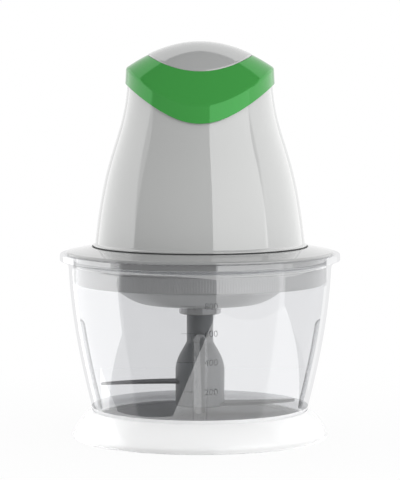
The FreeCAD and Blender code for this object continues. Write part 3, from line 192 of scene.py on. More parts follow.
# Foot ring. A thin ring of the same plastic is pressed into the groove in the skirt's lower edge.
# The whole chopper stands on it.
ring_inner_r = 69.63
ring_outer_r = 71.57
ring_round = 0.27
ring_side_z = 0.3
ring_top = foot_ring_top - 0.03
ring_outline = [(ring_inner_r, ring_side_z)]
ring_outline += rounded((ring_inner_r, ring_side_z), (ring_inner_r, 0.0), (ring_inner_r + ring_round, 0.0), 3)
ring_outline += rounded((ring_outer_r - ring_round, 0.0), (ring_outer_r, 0.0), (ring_outer_r, ring_side_z), 3)
ring_outline += [(ring_outer_r, ring_top), (ring_inner_r, ring_top)]
foot_ring = smoothed(turned("foot_ring_moulding", ring_outline))
finished(foot_ring, "base", "clear_base", milky_base, "foot_ring")

# Base pad. A soft rubber pad lies on the base's floor, so that the bowl can't creep while the motor
# runs. A shallow groove runs round its top.
pad_r = 56.5
pad_thickness = 1.6
pad_groove_depth = 0.35
pad_colour = (0.3, 0.307, 0.315, 1.0)


def rubber(name, colour, low_rough=0.62, high_rough=0.85):
    """Soft rubber: matt, with a fine tooth."""
    settings = {"Base Color": colour, "Specular IOR Level": 0.4}
    material, tree, shader, place, output = blank_finish(name, settings)
    grain(tree, shader, place, 1800.0, 0.5, low_rough, high_rough)
    return material


pad_rubber = rubber("pad_rubber", pad_colour)
pad_top = base_floor_top + pad_thickness
pad_outline = [(0.0, base_floor_top + 0.02), (pad_r, base_floor_top + 0.02), (pad_r, pad_top - 0.5)]
pad_outline += rounded((pad_r, pad_top - 0.5), (pad_r, pad_top), (pad_r - 0.5, pad_top))
pad_outline += [(pad_r - 6.0, pad_top), (pad_r - 6.4, pad_top - pad_groove_depth)]
pad_outline += [(pad_r - 7.6, pad_top - pad_groove_depth), (pad_r - 8.0, pad_top), (0.0, pad_top)]
pad = smoothed(turned("base_pad_moulding", pad_outline, closed=False))
finished(pad, "base", "pad_rubber", pad_rubber, "base_pad")

# Bowl. One clear injection moulding: a swelling wall under a stepped lip, four round ribs that stop
# the food from circling, and a boss on the floor that holds the blades' steel spindle. The edge of
# its foot is frosted.
clear_bowl_colour = (0.913, 0.915, 0.921, 1.0)
clear_edge_colour = (0.93, 0.932, 0.938, 1.0)
rib_face_colour = (0.82, 0.823, 0.832, 1.0)
rib_edge_colour = (0.42, 0.425, 0.435, 1.0)
foot_colour = (0.93, 0.933, 0.938, 1.0)
bowl_wall = 3.2
bowl_bottom = 11.9
bowl_floor = 15.0
bowl_low_r = 61.3
bowl_low_z = 17.2
bowl_belly_low_r = 67.9
bowl_belly_high_r = 72.9
bowl_rim_r = 74.1
bowl_rim_z = 95.2
bowl_lip_r = 79.1
bowl_lip_top = 103.8
rim_step_r = 71.75
rim_step_z = 86.4
rim_ledge_z = 103.0
frost_r = 57.5
boss_top = 22.0
spindle_bore_r = 3.02
rib_round_r = 4.6
rib_depth = 2.6
rib_top_rise = 52.0
rib_count = 4


def bowl_bend(inset, steps):
    """The wall's outline from foot to rim, moved in by a thickness."""
    third = (bowl_rim_z - bowl_low_z) / 3
    low = (bowl_belly_low_r - inset, bowl_low_z + third)
    high = (bowl_belly_high_r - inset, bowl_low_z + 2 * third)
    return bend((bowl_low_r - inset, bowl_low_z), low, high, (bowl_rim_r - inset, bowl_rim_z), steps)


def bowl_radius(height):
    """The outer wall's radius at a height."""
    t = (height - bowl_low_z) / (bowl_rim_z - bowl_low_z)
    return along(t, bowl_low_r, bowl_belly_low_r, bowl_belly_high_r, bowl_rim_r)


def ramped(tree, value, places, colours):
    """A colour that turns from one into another between two places of a value."""
    ramp = added(tree, "ShaderNodeValToRGB", {"Fac": value})
    for stop, place, colour in zip(ramp.color_ramp.elements, places, colours):
        stop.position = place
        stop.color = colour
    return ramp.outputs["Color"]


def worked(tree, operation, *terms):
    """One step of arithmetic on numbers or on what other nodes give."""
    step = added(tree, "ShaderNodeMath", dict(enumerate(terms)))
    step.operation = operation
    return step.outputs["Value"]


def mixed(tree, share, first, second):
    """One shader with a share of a second one over it."""
    return added(tree, "ShaderNodeMixShader", {"Fac": share, 1: first, 2: second}).outputs["Shader"]


def clear_plastic(name, colours, glosses, outside_only=False, turn=(0.6, 1.0)):
    """Clear moulded plastic: a tint for what shows through, and a gloss that grows towards its edges.

    Colours and glosses are those of a wall seen face on and of one seen edge on. The tint goes from
    one to the other between the two slants of the turn.
    """
    material, tree, shader, place, output = blank_finish(name, {})
    tree.nodes.remove(shader)
    slant = added(tree, "ShaderNodeLayerWeight", {"Blend": 0.5}).outputs["Facing"]
    through = added(tree, "ShaderNodeBsdfTransparent", {"Color": ramped(tree, slant, turn, colours)})
    share = ranged(tree, worked(tree, "POWER", slant, 5.0), to_min=glosses[0], to_max=glosses[1])
    if outside_only:
        side = tree.nodes.new("ShaderNodeNewGeometry")
        share = ranged(tree, side.outputs["Backfacing"], to_min=share, to_max=0.0)
    gloss = tree.nodes.new("ShaderNodeBsdfGlossy")
    grain(tree, gloss, place, 60.0, 0.02, 0.02, 0.03)
    wired(tree, output, {"Surface": mixed(tree, share, through.outputs["BSDF"], gloss.outputs["BSDF"])})
    return material


bowl_colours = (clear_bowl_colour, clear_edge_colour)
rib_colours = (rib_face_colour, rib_edge_colour)
clear_bowl = clear_plastic("clear_bowl_plastic", bowl_colours, (0.12, 0.5), outside_only=True)
clear_rib = clear_plastic("clear_rib_plastic", rib_colours, (0.09, 0.3), turn=(0.28, 0.56))
clear_inside = clear_plastic("clear_inside_plastic", bowl_colours, (0.01, 0.08))
clear_rim = clear_plastic("clear_rim_plastic", bowl_colours, (0.1, 0.4))

foot_frost, tree, shader, place, output = blank_finish("frosted_foot", {"Base Color": foot_colour})
grain(tree, shader, place, 900.0, 0.3, 0.45, 0.6)
spread = added(tree, "ShaderNodeBsdfTranslucent", {"Color": foot_colour})
wired(tree, output, {"Surface": mixed(tree, 0.15, shader.outputs["BSDF"], spread.outputs["BSDF"])})

bowl_outline = [(0.0, bowl_bottom), (30.0, bowl_bottom), (57.8, bowl_bottom)]
bowl_outline += rounded((58.4, bowl_bottom), (59.4, bowl_bottom), (59.8, 13.6))
bowl_outline += [(bowl_low_r, bowl_low_z)] + bowl_bend(0.0, 36)
bowl_outline += rounded((bowl_outline[-1][0], 96.6), (75.4, 99.3), (78.5, 99.8), 8)
bowl_outline += rounded((78.6, 99.8), (bowl_lip_r, 100.0), (bowl_lip_r, 100.4))
bowl_outline += rounded((bowl_lip_r, 102.8), (bowl_lip_r, bowl_lip_top), (78.2, bowl_lip_top), 6)
bowl_outline += [(76.5, bowl_lip_top), (76.0, rim_ledge_z), (72.0, rim_ledge_z)]
bowl_outline += [(rim_step_r, 102.7), (rim_step_r, rim_step_z)]
bowl_outline += [(bowl_radius(rim_step_z) - bowl_wall, rim_step_z)]
bowl_outline += [point for point in reversed(bowl_bend(bowl_wall, 36)) if point[1] < rim_step_z - 0.4]
bowl_outline += rounded((58.1, bowl_low_z), (57.6, 15.3), (54.8, bowl_floor), 6)
bowl_outline += [(30.0, bowl_floor), (6.6, bowl_floor), (6.2, 15.4), (5.7, boss_top - 0.4), (5.3, boss_top)]
bowl_outline += [(spindle_bore_r, boss_top), (spindle_bore_r, 13.2), (0.0, 13.2)]
bowl = turned("bowl_moulding", bowl_outline, closed=False)


def cylinder(name, radius, depth, place, sides, turn=(0, 0, 0), ends="NGON"):
    """A cylinder about a place, in mm, upright until it's turned."""
    bpy.ops.object.select_all(action="DESELECT")
    bpy.ops.mesh.primitive_cylinder_add(
        vertices=sides, radius=radius * mm, depth=depth * mm, end_fill_type=ends,
        location=[side * mm for side in place], rotation=turn,
    )
    piece = bpy.context.object
    piece.name = name
    bpy.ops.object.transform_apply(location=True, rotation=True)
    return piece


def joined(pieces):
    """Joins the pieces' meshes into the first."""
    picked(*pieces)
    bpy.ops.object.join()
    return bpy.context.object


def cut(piece, tool, operation="DIFFERENCE", materials="INDEX"):
    """Takes the tool's shape out of the piece, or adds it, and deletes the tool."""
    picked(piece)
    bpy.ops.object.modifier_add(type="BOOLEAN")
    boolean = piece.modifiers[-1]
    boolean.operation = operation
    boolean.material_mode = materials
    boolean.object = tool
    bpy.ops.object.modifier_apply(modifier=boolean.name)
    bpy.data.objects.remove(tool)


rib_rise = rib_top_rise - rib_round_r
rib_stations = 8
rib_reach = bowl_radius(bowl_floor + 2.2) - bowl_wall + rib_round_r - rib_depth
rib = cylinder("rib", rib_round_r, 0.5, (0, -rib_reach, bowl_floor - 0.75), 48)
bpy.ops.object.mode_set(mode="EDIT")
bpy.ops.mesh.select_mode(type="FACE")
bpy.ops.mesh.select_all(action="DESELECT")
bpy.ops.object.mode_set(mode="OBJECT")
for face in rib.data.polygons:
    face.select = face.normal.z > 0.9
bpy.ops.object.mode_set(mode="EDIT")
for station in range(1, rib_stations + 1):
    low_z = bowl_floor + rib_rise * (station - 1) / rib_stations
    high_z = bowl_floor + rib_rise * station / rib_stations
    lean = bowl_radius(max(high_z, bowl_low_z)) - bowl_radius(max(low_z, bowl_low_z))
    bpy.ops.mesh.extrude_region_move(TRANSFORM_OT_translate={"value": (0, -lean * mm, (high_z - low_z) * mm)})
crown_steps = 8
for step in range(1, crown_steps + 1):
    low_turn = math.pi / 2 * (step - 1) / crown_steps
    high_turn = math.pi / 2 * min(step / crown_steps, 0.97)
    rise = rib_round_r * (math.sin(high_turn) - math.sin(low_turn))
    shrink = math.cos(high_turn) / math.cos(low_turn)
    bpy.ops.mesh.extrude_region_move(TRANSFORM_OT_translate={"value": (0, 0, rise * mm)})
    bpy.ops.transform.resize(value=(shrink, shrink, 1.0))
bpy.ops.mesh.select_mode(type="VERT")
bpy.ops.object.mode_set(mode="OBJECT")
trim_inset = bowl_wall - 1.2
for vertex in rib.data.vertices:
    height = min(max(vertex.co.z / mm, bowl_low_z), bowl_rim_z)
    limit = (bowl_radius(height) - trim_inset) * mm
    flat = math.hypot(vertex.co.x, vertex.co.y)
    if flat > limit:
        vertex.co.x *= limit / flat
        vertex.co.y *= limit / flat
rib_copies = [rib]
for number in range(1, rib_count):
    picked(rib)
    bpy.ops.object.duplicate()
    rib_copies.append(bpy.context.object)
    rib_copies[-1].rotation_euler = (0, 0, number * 2 * math.pi / rib_count)
    bpy.ops.object.transform_apply(rotation=True)
ribs = joined(rib_copies)
for finish in (clear_bowl, clear_inside, clear_rim):
    bowl.data.materials.append(finish)
ribs.data.materials.append(clear_rib)
cut(bowl, ribs, "UNION", "TRANSFER")
smoothed(bowl, 30)
bowl.data.materials.append(foot_frost)
for face in bowl.data.polygons:
    height = face.center.z / mm
    flat = math.hypot(face.center.x, face.center.y) / mm
    middle = bowl_radius(min(height, bowl_rim_z)) - bowl_wall / 2
    inside = height > bowl_floor - 0.1 and flat < middle
    finish = bowl.data.materials[face.material_index]
    if inside and finish == clear_bowl:
        finish = clear_rim if height > rim_step_z else clear_inside
    if not inside and height < bowl_low_z and flat > frost_r:
        finish = foot_frost
    face.material_index = bowl.data.materials.find(finish.name)
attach(bowl, "bowl")
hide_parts("bowl")

# Scale of the bowl. Numbers for every 200 ml and a fine line beside each are moulded on the wall,
# to the right and left of the front rib. They're raised by a fifth of a millimetre and frosted.
scale_heights = {"200": 33.5, "400": 50.0, "600": 66.0, "800": 81.0}
number_size = 4.9
number_x = 2.4
digit_middle = 0.35
stroke_trim = 0.06
line_end = -2.4
long_line = 11.0
short_line = 8.0
line_thickness = 0.16
relief = 0.2
scale_colour = (0.03, 0.031, 0.032, 1.0)

scale_frost, tree, shader, place, output = blank_finish("scale_frost", {
    "Base Color": scale_colour, "Alpha": 0.28, "Specular IOR Level": 0.1,
})
grain(tree, shader, place, 900.0, 0.3, 0.45, 0.6)


def wrapped(piece, height):
    """Bends a flat mark, drawn on x and y, round the bowl's wall and gives it its relief."""
    for vertex in piece.data.vertices:
        across, rise, out = vertex.co.x / mm, vertex.co.y / mm, vertex.co.z / mm
        radius = bowl_radius(height + rise) + out - 0.02
        turn = across / radius
        vertex.co = Vector((radius * math.sin(turn), -radius * math.cos(turn), height + rise)) * mm


marks = []
for words, height in scale_heights.items():
    bpy.ops.object.select_all(action="DESELECT")
    bpy.ops.object.text_add()
    number = bpy.context.object
    number.data.body = words
    number.data.size = number_size * mm
    number.data.extrude = relief / 2 * mm
    number.data.offset = -stroke_trim * mm
    bpy.ops.object.convert(target="MESH")
    number = bpy.context.object
    for vertex in number.data.vertices:
        vertex.co.x += number_x * mm
        vertex.co.y -= number_size * digit_middle * mm
        vertex.co.z += relief / 2 * mm
    wrapped(number, height)
    line_length = long_line if words == "400" else short_line
    bpy.ops.object.select_all(action="DESELECT")
    bpy.ops.mesh.primitive_cube_add(size=1.0)
    line = bpy.context.object
    bpy.ops.object.mode_set(mode="EDIT")
    bpy.ops.mesh.subdivide(number_cuts=6)
    bpy.ops.transform.resize(value=(line_length * mm, line_thickness * mm, relief * mm))
    bpy.ops.transform.translate(value=((line_end - line_length / 2) * mm, 0, relief / 2 * mm))
    bpy.ops.object.mode_set(mode="OBJECT")
    wrapped(line, height)
    marks += [number, line]
scale_marks = joined(marks)
scale_marks.name = "bowl_scale_marks"
bpy.ops.object.mode_set(mode="EDIT")
bpy.ops.mesh.select_all(action="SELECT")
bpy.ops.mesh.remove_doubles(threshold=0.001 * mm)
bpy.ops.mesh.normals_make_consistent(inside=False)
bpy.ops.object.mode_set(mode="OBJECT")
finished(smoothed(scale_marks), "bowl", "clear_bowl", scale_frost)

# Spindle and thrust washer. A ground steel pin is moulded into the bowl's boss, and an acetal
# washer on the boss carries the weight of the blade assembly.
steel_colour = (0.56, 0.57, 0.58, 1.0)
acetal_colour = (0.76, 0.74, 0.66, 1.0)


def metal(name, colour, low_rough, high_rough, scale=(600.0, 600.0, 600.0), depth=0.12):
    """Bare metal with the fine lines of its last machining, stretched by the pattern's scale."""
    material, tree, shader, place, output = blank_finish(name, {"Base Color": colour, "Metallic": 1.0})
    lines = added(tree, "ShaderNodeMapping", {"Scale": scale, "Vector": place})
    grain(tree, shader, lines.outputs["Vector"], 1.0, depth, low_rough, high_rough)
    return material


def plastic(name, colour, low_rough, high_rough, scale=900.0, depth=0.08, coat=0.0, gloss_tint=None):
    """Moulded plastic: an even colour that varies very little, under a fine mould grain."""
    material, tree, shader, place, output = blank_finish(name, {})
    grain(tree, shader, place, scale, depth, low_rough, high_rough)
    cloud = added(tree, "ShaderNodeTexNoise", {"Scale": 14.0, "Vector": place}).outputs["Fac"]
    shades = [tuple(min(1.0, part * share) for part in colour[:3]) + (1.0,) for share in (0.985, 1.015)]
    wired(tree, shader, {"Base Color": ramped(tree, cloud, (0.3, 0.7), shades)})
    if coat:
        wired(tree, shader, {
            "Coat Weight": coat, "Coat Roughness": 0.015, "Coat IOR": 1.6, "Specular IOR Level": 0.9,
        })
    if gloss_tint:
        wired(tree, shader, {"Specular Tint": gloss_tint})
    return material


def dressed(material, *nodes):
    """CAD pieces whose shape is right keep it, and get this finish."""
    for name in nodes:
        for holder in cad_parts[name].material_slots:
            holder.material = material


turned_steel = metal("turned_steel", steel_colour, 0.18, 0.3, (90.0, 90.0, 3200.0))
acetal = plastic("acetal", acetal_colour, 0.34, 0.46)
dressed(turned_steel, "spindle_pin")
dressed(acetal, "thrust_washer")

# Blade assembly. A dark moulded hub with a narrow neck turns on a bronze bush, and ends in a
# hexagon that enters the coupling. Two crescent blades of hard steel are moulded into its drum.
hub_colour = (0.105, 0.112, 0.118, 1.0)
hub_r = 13.9
hub_low = 17.0
drum_top = 37.1
neck_low = 53.5
hub_top = 70.6
neck_r = 7.5
drive_across = 9.0
drive_top = 75.6
bush_r = 5.02
blade_colour = (0.12, 0.123, 0.127, 1.0)
blade_edge_tint = (0.3, 0.3, 0.31, 1.0)
bronze_colour = (0.6, 0.42, 0.22, 1.0)

hub_plastic = plastic("hub_plastic", hub_colour, 0.3, 0.42, 700.0, 0.1)
hub_outline = [(6.4, hub_low), (hub_r - 1.5, hub_low)]
hub_outline += rounded((hub_r - 1.3, hub_low), (hub_r, hub_low), (hub_r, hub_low + 1.3))
hub_outline += [(hub_r, 24.0), (hub_r, 31.0), (hub_r, drum_top)]
hub_outline += bend((hub_r, drum_top), (hub_r, 44.0), (neck_r + 2.2, 48.9), (neck_r, neck_low), 20)
hub_outline += [(neck_r, 60.0), (neck_r, hub_top - 0.5)]
hub_outline += rounded((neck_r, hub_top - 0.5), (neck_r, hub_top), (neck_r - 0.5, hub_top))
hub_outline += [(4.0, hub_top), (0.0, hub_top), (0.0, 65.8), (3.5, 65.8), (3.5, 64.0), (bush_r, 64.0)]
hub_outline += [(bush_r, 23.6), (6.4, 23.6)]
hub = smoothed(turned("blade_hub_moulding", hub_outline, sides=128))

drive_low = hub_top - 0.4
drive_place = (0, 0, (drive_top + drive_low) / 2)
drive = cylinder("drive", drive_across / math.sqrt(3), drive_top - drive_low, drive_place, 6)
bpy.ops.object.modifier_add(type="BEVEL")
drive.modifiers[-1].width = 0.35 * mm
drive.modifiers[-1].segments = 3
bpy.ops.object.modifier_apply(modifier=drive.modifiers[-1].name)
hub = joined([hub, smoothed(drive)])
finished(hub, "blade", "hub_plastic", hub_plastic, "blade_hub")

blade_steel = metal("blade_steel", blade_colour, 0.24, 0.36, (1500.0, 60.0, 1500.0), 0.1)
blade_steel.node_tree.nodes["Principled BSDF"].inputs["Specular Tint"].default_value = blade_edge_tint
bush_bronze = metal("bush_bronze", bronze_colour, 0.3, 0.45, (900.0, 900.0, 900.0))
dressed(blade_steel, "upper_blade", "lower_blade")
dressed(bush_bronze, "hub_bush")

# Lid. A grey moulding with a rounded flange over the bowl's lip, a ribbed collar that pushes into
# the rim, and a deep well that the motor unit drops into. It's the bell's grey plastic painted darker,
# as painted shade under the bell. The pan under the well is satin and painted lighter, as painted
# light from below, and the rest is glossy.
grey_colour = (0.45, 0.455, 0.45, 1.0)
# The lid's colour is the bell's grey plastic painted darker: painted shade under the bell and the lid's own
# flange.
lid_painted_shade_colour = (0.3, 0.304, 0.302, 1.0)
# The pan's colour is painted lighter than the rest of the lid: painted light from below.
pan_painted_light_colour = (0.6, 0.605, 0.6, 1.0)
well_r = 56.0
well_top = 107.0
well_ring_r = 61.2
flange_r = 75.5
lid_under = 103.3
collar_r = 71.1
collar_low = 86.7
seal_low = 97.1
seal_high = 99.7
pan_r = 58.2
pan_rim_z = 94.0
pan_low = 75.3
pan_floor = 77.5
socket_r = 11.9
socket_bore_r = 8.3
collar_rib_count = 288
collar_rib_depth = 0.14
collar_rib_height = 8.0
collar_rib_z = 91.6
lid_rib_count = 12
key_count = 4

grey_plastic = plastic("grey_plastic", grey_colour, 0.02, 0.03, 1200.0, 0.01, 1.0)
# The lid's finish carries its painted shade.
lid_painted_shade_plastic = plastic("lid_painted_shade_plastic", lid_painted_shade_colour, 0.02, 0.03, 1200.0, 0.01, 0.7)
# The pan's finish is satin and carries the painted light from below.
pan_painted_light_plastic = plastic("pan_painted_light_plastic", pan_painted_light_colour, 0.25, 0.35, 1200.0, 0.03)
lid_outline = [(well_r, well_top), (well_ring_r, well_top), (well_ring_r, 107.6)]
lid_outline += [(66.0, 106.72), (70.0, 105.97)]
lid_outline += rounded((74.5, 105.14), (75.3, 105.0), (flange_r, 104.3), 6)
lid_outline += rounded((flange_r, 103.7), (flange_r, lid_under), (flange_r - 0.4, lid_under))
lid_outline += [(collar_r, lid_under), (collar_r, seal_high), (collar_r - 1.0, seal_high)]
lid_outline += [(collar_r - 1.0, seal_low), (collar_r, seal_low), (collar_r, 96.2), (collar_r - 0.5, 95.9)]
lid_outline += [(collar_r - 0.5, collar_low + 0.6)]
lid_outline += rounded(
    (collar_r - 0.5, collar_low + 0.6), (collar_r - 0.5, collar_low), (collar_r - 1.1, collar_low)
)
lid_outline += [(68.9, collar_low), (68.9, 103.4)]
lid_outline += rounded((68.9, 103.4), (68.9, 104.2), (68.1, 104.2))
lid_outline += rounded((59.0, 104.2), (pan_r, 104.2), (pan_r, 103.4))
lid_outline += [(pan_r, pan_rim_z)] + bend((pan_r, pan_rim_z), (pan_r, 87.5), (53.2, 87.2), (48.6, 84.0), 14)
lid_outline += bend((48.6, 84.0), (44.0, 80.8), (38.0, pan_low), (30.0, pan_low), 14)
lid_outline += [(20.0, pan_low), (12.6, pan_low), (socket_r, 74.7)]
lid_outline += rounded((socket_r, 70.1), (socket_r, 69.4), (11.2, 69.4))
lid_outline += [(8.6, 69.4), (socket_bore_r, 69.7), (socket_bore_r, pan_floor), (20.0, pan_floor)]
lid_outline += [(29.5, pan_floor)]
lid_outline += bend((29.5, pan_floor), (37.5, pan_floor), (42.9, 83.0), (47.5, 86.2), 14)
lid_outline += bend((47.5, 86.2), (51.5, 89.2), (well_r, 88.4), (well_r, pan_rim_z), 12)
lid = turned("lid_moulding", lid_outline)


def even(count, start_deg):
    """Evenly spaced angles round the axis."""
    return [start_deg + 360 * number / count for number in range(count)]


def blocks(name, size, place, turns):
    """Like blocks set round the axis, one mesh. Size and place are in mm, on the +X side."""
    made = []
    for turn in turns:
        bpy.ops.object.select_all(action="DESELECT")
        bpy.ops.mesh.primitive_cube_add(size=1.0)
        block = bpy.context.object
        bpy.ops.object.mode_set(mode="EDIT")
        bpy.ops.transform.resize(value=tuple(side * mm for side in size))
        bpy.ops.transform.translate(value=tuple(side * mm for side in place))
        bpy.ops.object.mode_set(mode="OBJECT")
        block.rotation_euler = (0, 0, math.radians(turn))
        bpy.ops.object.transform_apply(rotation=True)
        made.append(block)
    whole = joined(made)
    whole.name = name
    return whole


cut(lid, blocks("key_ways", (3.0, 5.6, 10.8), (55.5, 0, 102.1), even(key_count, 45)))
lid_ribs = blocks("lid_ribs", (11.7, 1.6, 9.4), (63.55, 0, 99.9), even(lid_rib_count, 15))
cut(lid, lid_ribs, "UNION")
# The lid takes its finish with the painted shade.
finished(smoothed(lid, 30), "lid", "grey_plastic", lid_painted_shade_plastic, "lid")
# The pan's faces get the satin finish with its painted light from below.
lid.data.materials.append(pan_painted_light_plastic)
for face in lid.data.polygons:
    flat = math.hypot(face.center.x, face.center.y) / mm
    if face.center.z < pan_rim_z * mm and socket_r + 0.9 < flat < pan_r + 0.2:
        face.material_index = 1

collar_ribs = cylinder(
    "lid_collar_ribs", collar_r + 0.05, collar_rib_height, (0, 0, collar_rib_z), 2 * collar_rib_count,
    ends="NOTHING",
)
for vertex in collar_ribs.data.vertices:
    turn = math.atan2(vertex.co.y, vertex.co.x) / math.pi * collar_rib_count
    if round(turn) % 2:
        vertex.co.x *= 1 - collar_rib_depth / collar_r
        vertex.co.y *= 1 - collar_rib_depth / collar_r
bpy.ops.object.mode_set(mode="EDIT")
bpy.ops.mesh.select_all(action="SELECT")
bpy.ops.mesh.extrude_region_move()
bpy.ops.transform.resize(value=(0.992, 0.992, 1.0), center_override=(0, 0, collar_rib_z * mm))
bpy.ops.mesh.select_all(action="SELECT")
bpy.ops.mesh.normals_make_consistent(inside=False)
bpy.ops.object.mode_set(mode="OBJECT")
# The collar's ribs share the lid's painted shade.
finished(smoothed(collar_ribs, 20), "lid", "grey_plastic", lid_painted_shade_plastic)

# Lid seal. A ring of soft rubber with three lips lies in the collar's groove. The lips grip the
# bowl's rim when the lid is pushed in.
seal_colour = (0.34, 0.35, 0.36, 1.0)
seal_back_r = 70.12
seal_front_r = 70.9
seal_gap = 0.03

seal_rubber = rubber("seal_rubber", seal_colour, 0.4, 0.55)
seal_outline = [(seal_back_r, seal_low + seal_gap), (seal_front_r, seal_low + seal_gap)]
for lip in range(3):
    lip_low = seal_low + seal_gap + lip * 0.85
    seal_outline += [(71.0, lip_low + 0.1), (71.38, lip_low + 0.42), (71.0, lip_low + 0.75)]
seal_outline += [(seal_front_r, seal_high - seal_gap), (seal_back_r, seal_high - seal_gap)]
seal = smoothed(turned("lid_seal_ring", seal_outline))
finished(seal, "lid", "seal_rubber", seal_rubber, "lid_seal")

# Gearbox. A planetary reduction sits in the cup of the base cover: a ground pinion drives three
# acetal planets inside a fixed ring, and their carrier turns the coupling that the blades' hexagon
# enters.
inner_colour = (0.12, 0.12, 0.125, 1.0)
screw_colour = (0.58, 0.58, 0.6, 1.0)
aluminium_colour = (0.66, 0.67, 0.69, 1.0)

inner_plastic = plastic("inner_plastic", inner_colour, 0.38, 0.5)
bright_steel = metal("bright_steel", screw_colour, 0.2, 0.32)
cast_aluminium = metal("cast_aluminium", aluminium_colour, 0.32, 0.5, (500.0, 500.0, 500.0), 0.3)
dressed(inner_plastic, "motor_base_cover", "gearbox_cover")
dressed(acetal, "ring_gear", "planet_gear_1", "planet_gear_2", "planet_gear_3")
dressed(turned_steel, "sun_pinion", "planet_pins")
dressed(bright_steel, "cover_screws", "gearbox_screws")
dressed(cast_aluminium, "planet_carrier")
dressed(hub_plastic, "drive_coupling")
dressed(bush_bronze, "output_bush")

# Motor. A universal motor stands on rubber bushes over the gearbox. Its armature, with fan and
# commutator, turns in two ball bearings, the upper one in a cast bridge that carries the brushes.
race_colour = (0.7, 0.7, 0.72, 1.0)
core_colour = (0.3, 0.3, 0.32, 1.0)
brass_colour = (0.78, 0.58, 0.28, 1.0)
copper_colour = (0.72, 0.32, 0.17, 1.0)
carbon_colour = (0.03, 0.03, 0.032, 1.0)
capacitor_colour = (0.74, 0.58, 0.1, 1.0)

bearing_steel = metal("bearing_steel", race_colour, 0.1, 0.18, (90.0, 90.0, 3200.0))
core_steel = metal("core_steel", core_colour, 0.35, 0.5, (40.0, 40.0, 2400.0), 0.6)
brass = metal("brass", brass_colour, 0.2, 0.34)
winding_copper = metal("winding_copper", copper_colour, 0.22, 0.36, (120.0, 120.0, 2600.0), 0.8)
carbon = plastic("carbon", carbon_colour, 0.5, 0.65)
capacitor_case = plastic("capacitor_case", capacitor_colour, 0.35, 0.5)
dressed(turned_steel, "motor_shaft")
dressed(bearing_steel, "upper_bearing", "lower_bearing")
dressed(core_steel, "stator_core", "rotor_core")
dressed(winding_copper, "front_field_winding", "back_field_winding", "rotor_winding")
dressed(brass, "brush_holder_left", "brush_holder_right", "commutator")
dressed(carbon, "carbon_brush_left", "carbon_brush_right")
dressed(bright_steel, "motor_bolts", "brush_springs")
dressed(cast_aluminium, "bearing_bridge")
dressed(inner_plastic, "cooling_fan")
dressed(pad_rubber, "motor_isolators", "upper_isolator")
dressed(capacitor_case, "suppressor_capacitor")

# Switch. A snap switch is pegged to the deck under the cap. A steel lever on a pin carries the
# cap's push to its button, and two coil springs bring the cap up again.
dressed(inner_plastic, "switch_body", "switch_pegs")
dressed(turned_steel, "lever_pin")
dressed(bright_steel, "switch_lever", "return_spring_left", "return_spring_right", "cap_screws")
dressed(hub_plastic, "switch_button")

# Motor housing. The bell is one glossy grey moulding. It stands on a bead above the seam, narrows
# to the neck inside the cap's skirt, and has cooling slots and a flat for the cord gland behind.
bell_low = 108.1
bell_start = 110.0
bell_end = 216.0
neck_edge = 215.2
neck_top = 217.6
bell_foot_r = 59.2
bell_neck_r = 40.3
bell_wall = 2.8
bell_low_r = 52.4
bell_low_z = 174.4
bell_high_z = 165.2
crown_side = 0.008376
crown_front_low = 0.01753
crown_front = 0.01832
vent_count = 11
vent_step_deg = 5.625
gland_z = 163.0
gland_face = 50.0


def bell_radius(height):
    """The bell's outer radius at a height."""
    if height >= bell_end:
        return bell_neck_r
    if height <= bell_start:
        return bell_foot_r
    t = (height - bell_start) / (bell_end - bell_start)
    for nearer in range(4):
        back = 1 - t
        z = along(t, bell_start, bell_low_z, bell_high_z, bell_end)
        slope = (bell_low_z - bell_start) * back ** 2 + 2 * (bell_high_z - bell_low_z) * t * back
        slope += (bell_end - bell_high_z) * t * t
        t += (height - z) / (3 * slope)
    return along(t, bell_foot_r, bell_low_r, bell_neck_r, bell_neck_r)


def crown_drop(x, y, front):
    """How far the crown lies under its top at a place, in mm: a dome flatter from side to side."""
    return crown_side * x * x + front * y * y


def sagged(piece, low, high):
    """Pulls a straight-topped turned shell down to the crown, along the bell's own outline."""
    for vertex in piece.data.vertices:
        turn = math.atan2(vertex.co.y, vertex.co.x)
        height = vertex.co.z / mm
        if height <= low:
            continue
        proud = math.hypot(vertex.co.x, vertex.co.y) / mm - bell_radius(height)
        share = min(1.0, (height - low) / (high - low))
        front = crown_front if height > high + 0.1 else crown_front_low
        radius = bell_radius(height) + proud
        for settle in range(8):
            x, y = radius * math.cos(turn), radius * math.sin(turn)
            z = height - share * crown_drop(x, y, front)
            radius = bell_radius(z) + proud
        vertex.co = Vector((radius * math.cos(turn), radius * math.sin(turn), z)) * mm


bell_outline = [(57.8, bell_low), (60.1, bell_low)]
bell_outline += rounded((60.1, bell_low), (60.4, bell_low), (60.4, bell_low + 0.3), 3)
bell_outline += [(60.4, bell_low + 0.7)]
bell_outline += rounded((60.4, bell_low + 0.7), (59.5, bell_low + 1.1), (bell_foot_r, bell_start), 5)
bell_heights = [bell_start + (neck_edge - bell_start) * step / 48 for step in range(1, 49)]
bell_outline += [(bell_radius(z), z) for z in bell_heights[:-1]]
bell_outline += [(bell_radius(neck_edge - 0.3), neck_edge - 0.3), (bell_radius(neck_edge) - 0.3, neck_edge)]
bell_outline += [(bell_neck_r - 1.0, neck_edge), (bell_neck_r - 1.0, neck_top)]
bell_outline += [(bell_neck_r - bell_wall, neck_top)]
bell_outline += [(bell_radius(z) - bell_wall, z) for z in reversed(bell_heights[:-1])]
bell_outline += [(bell_foot_r - bell_wall, bell_low + 2.4), (57.8, bell_low + 2.1)]
bell = turned("bell_shell", bell_outline)
sagged(bell, bell_start, neck_edge)

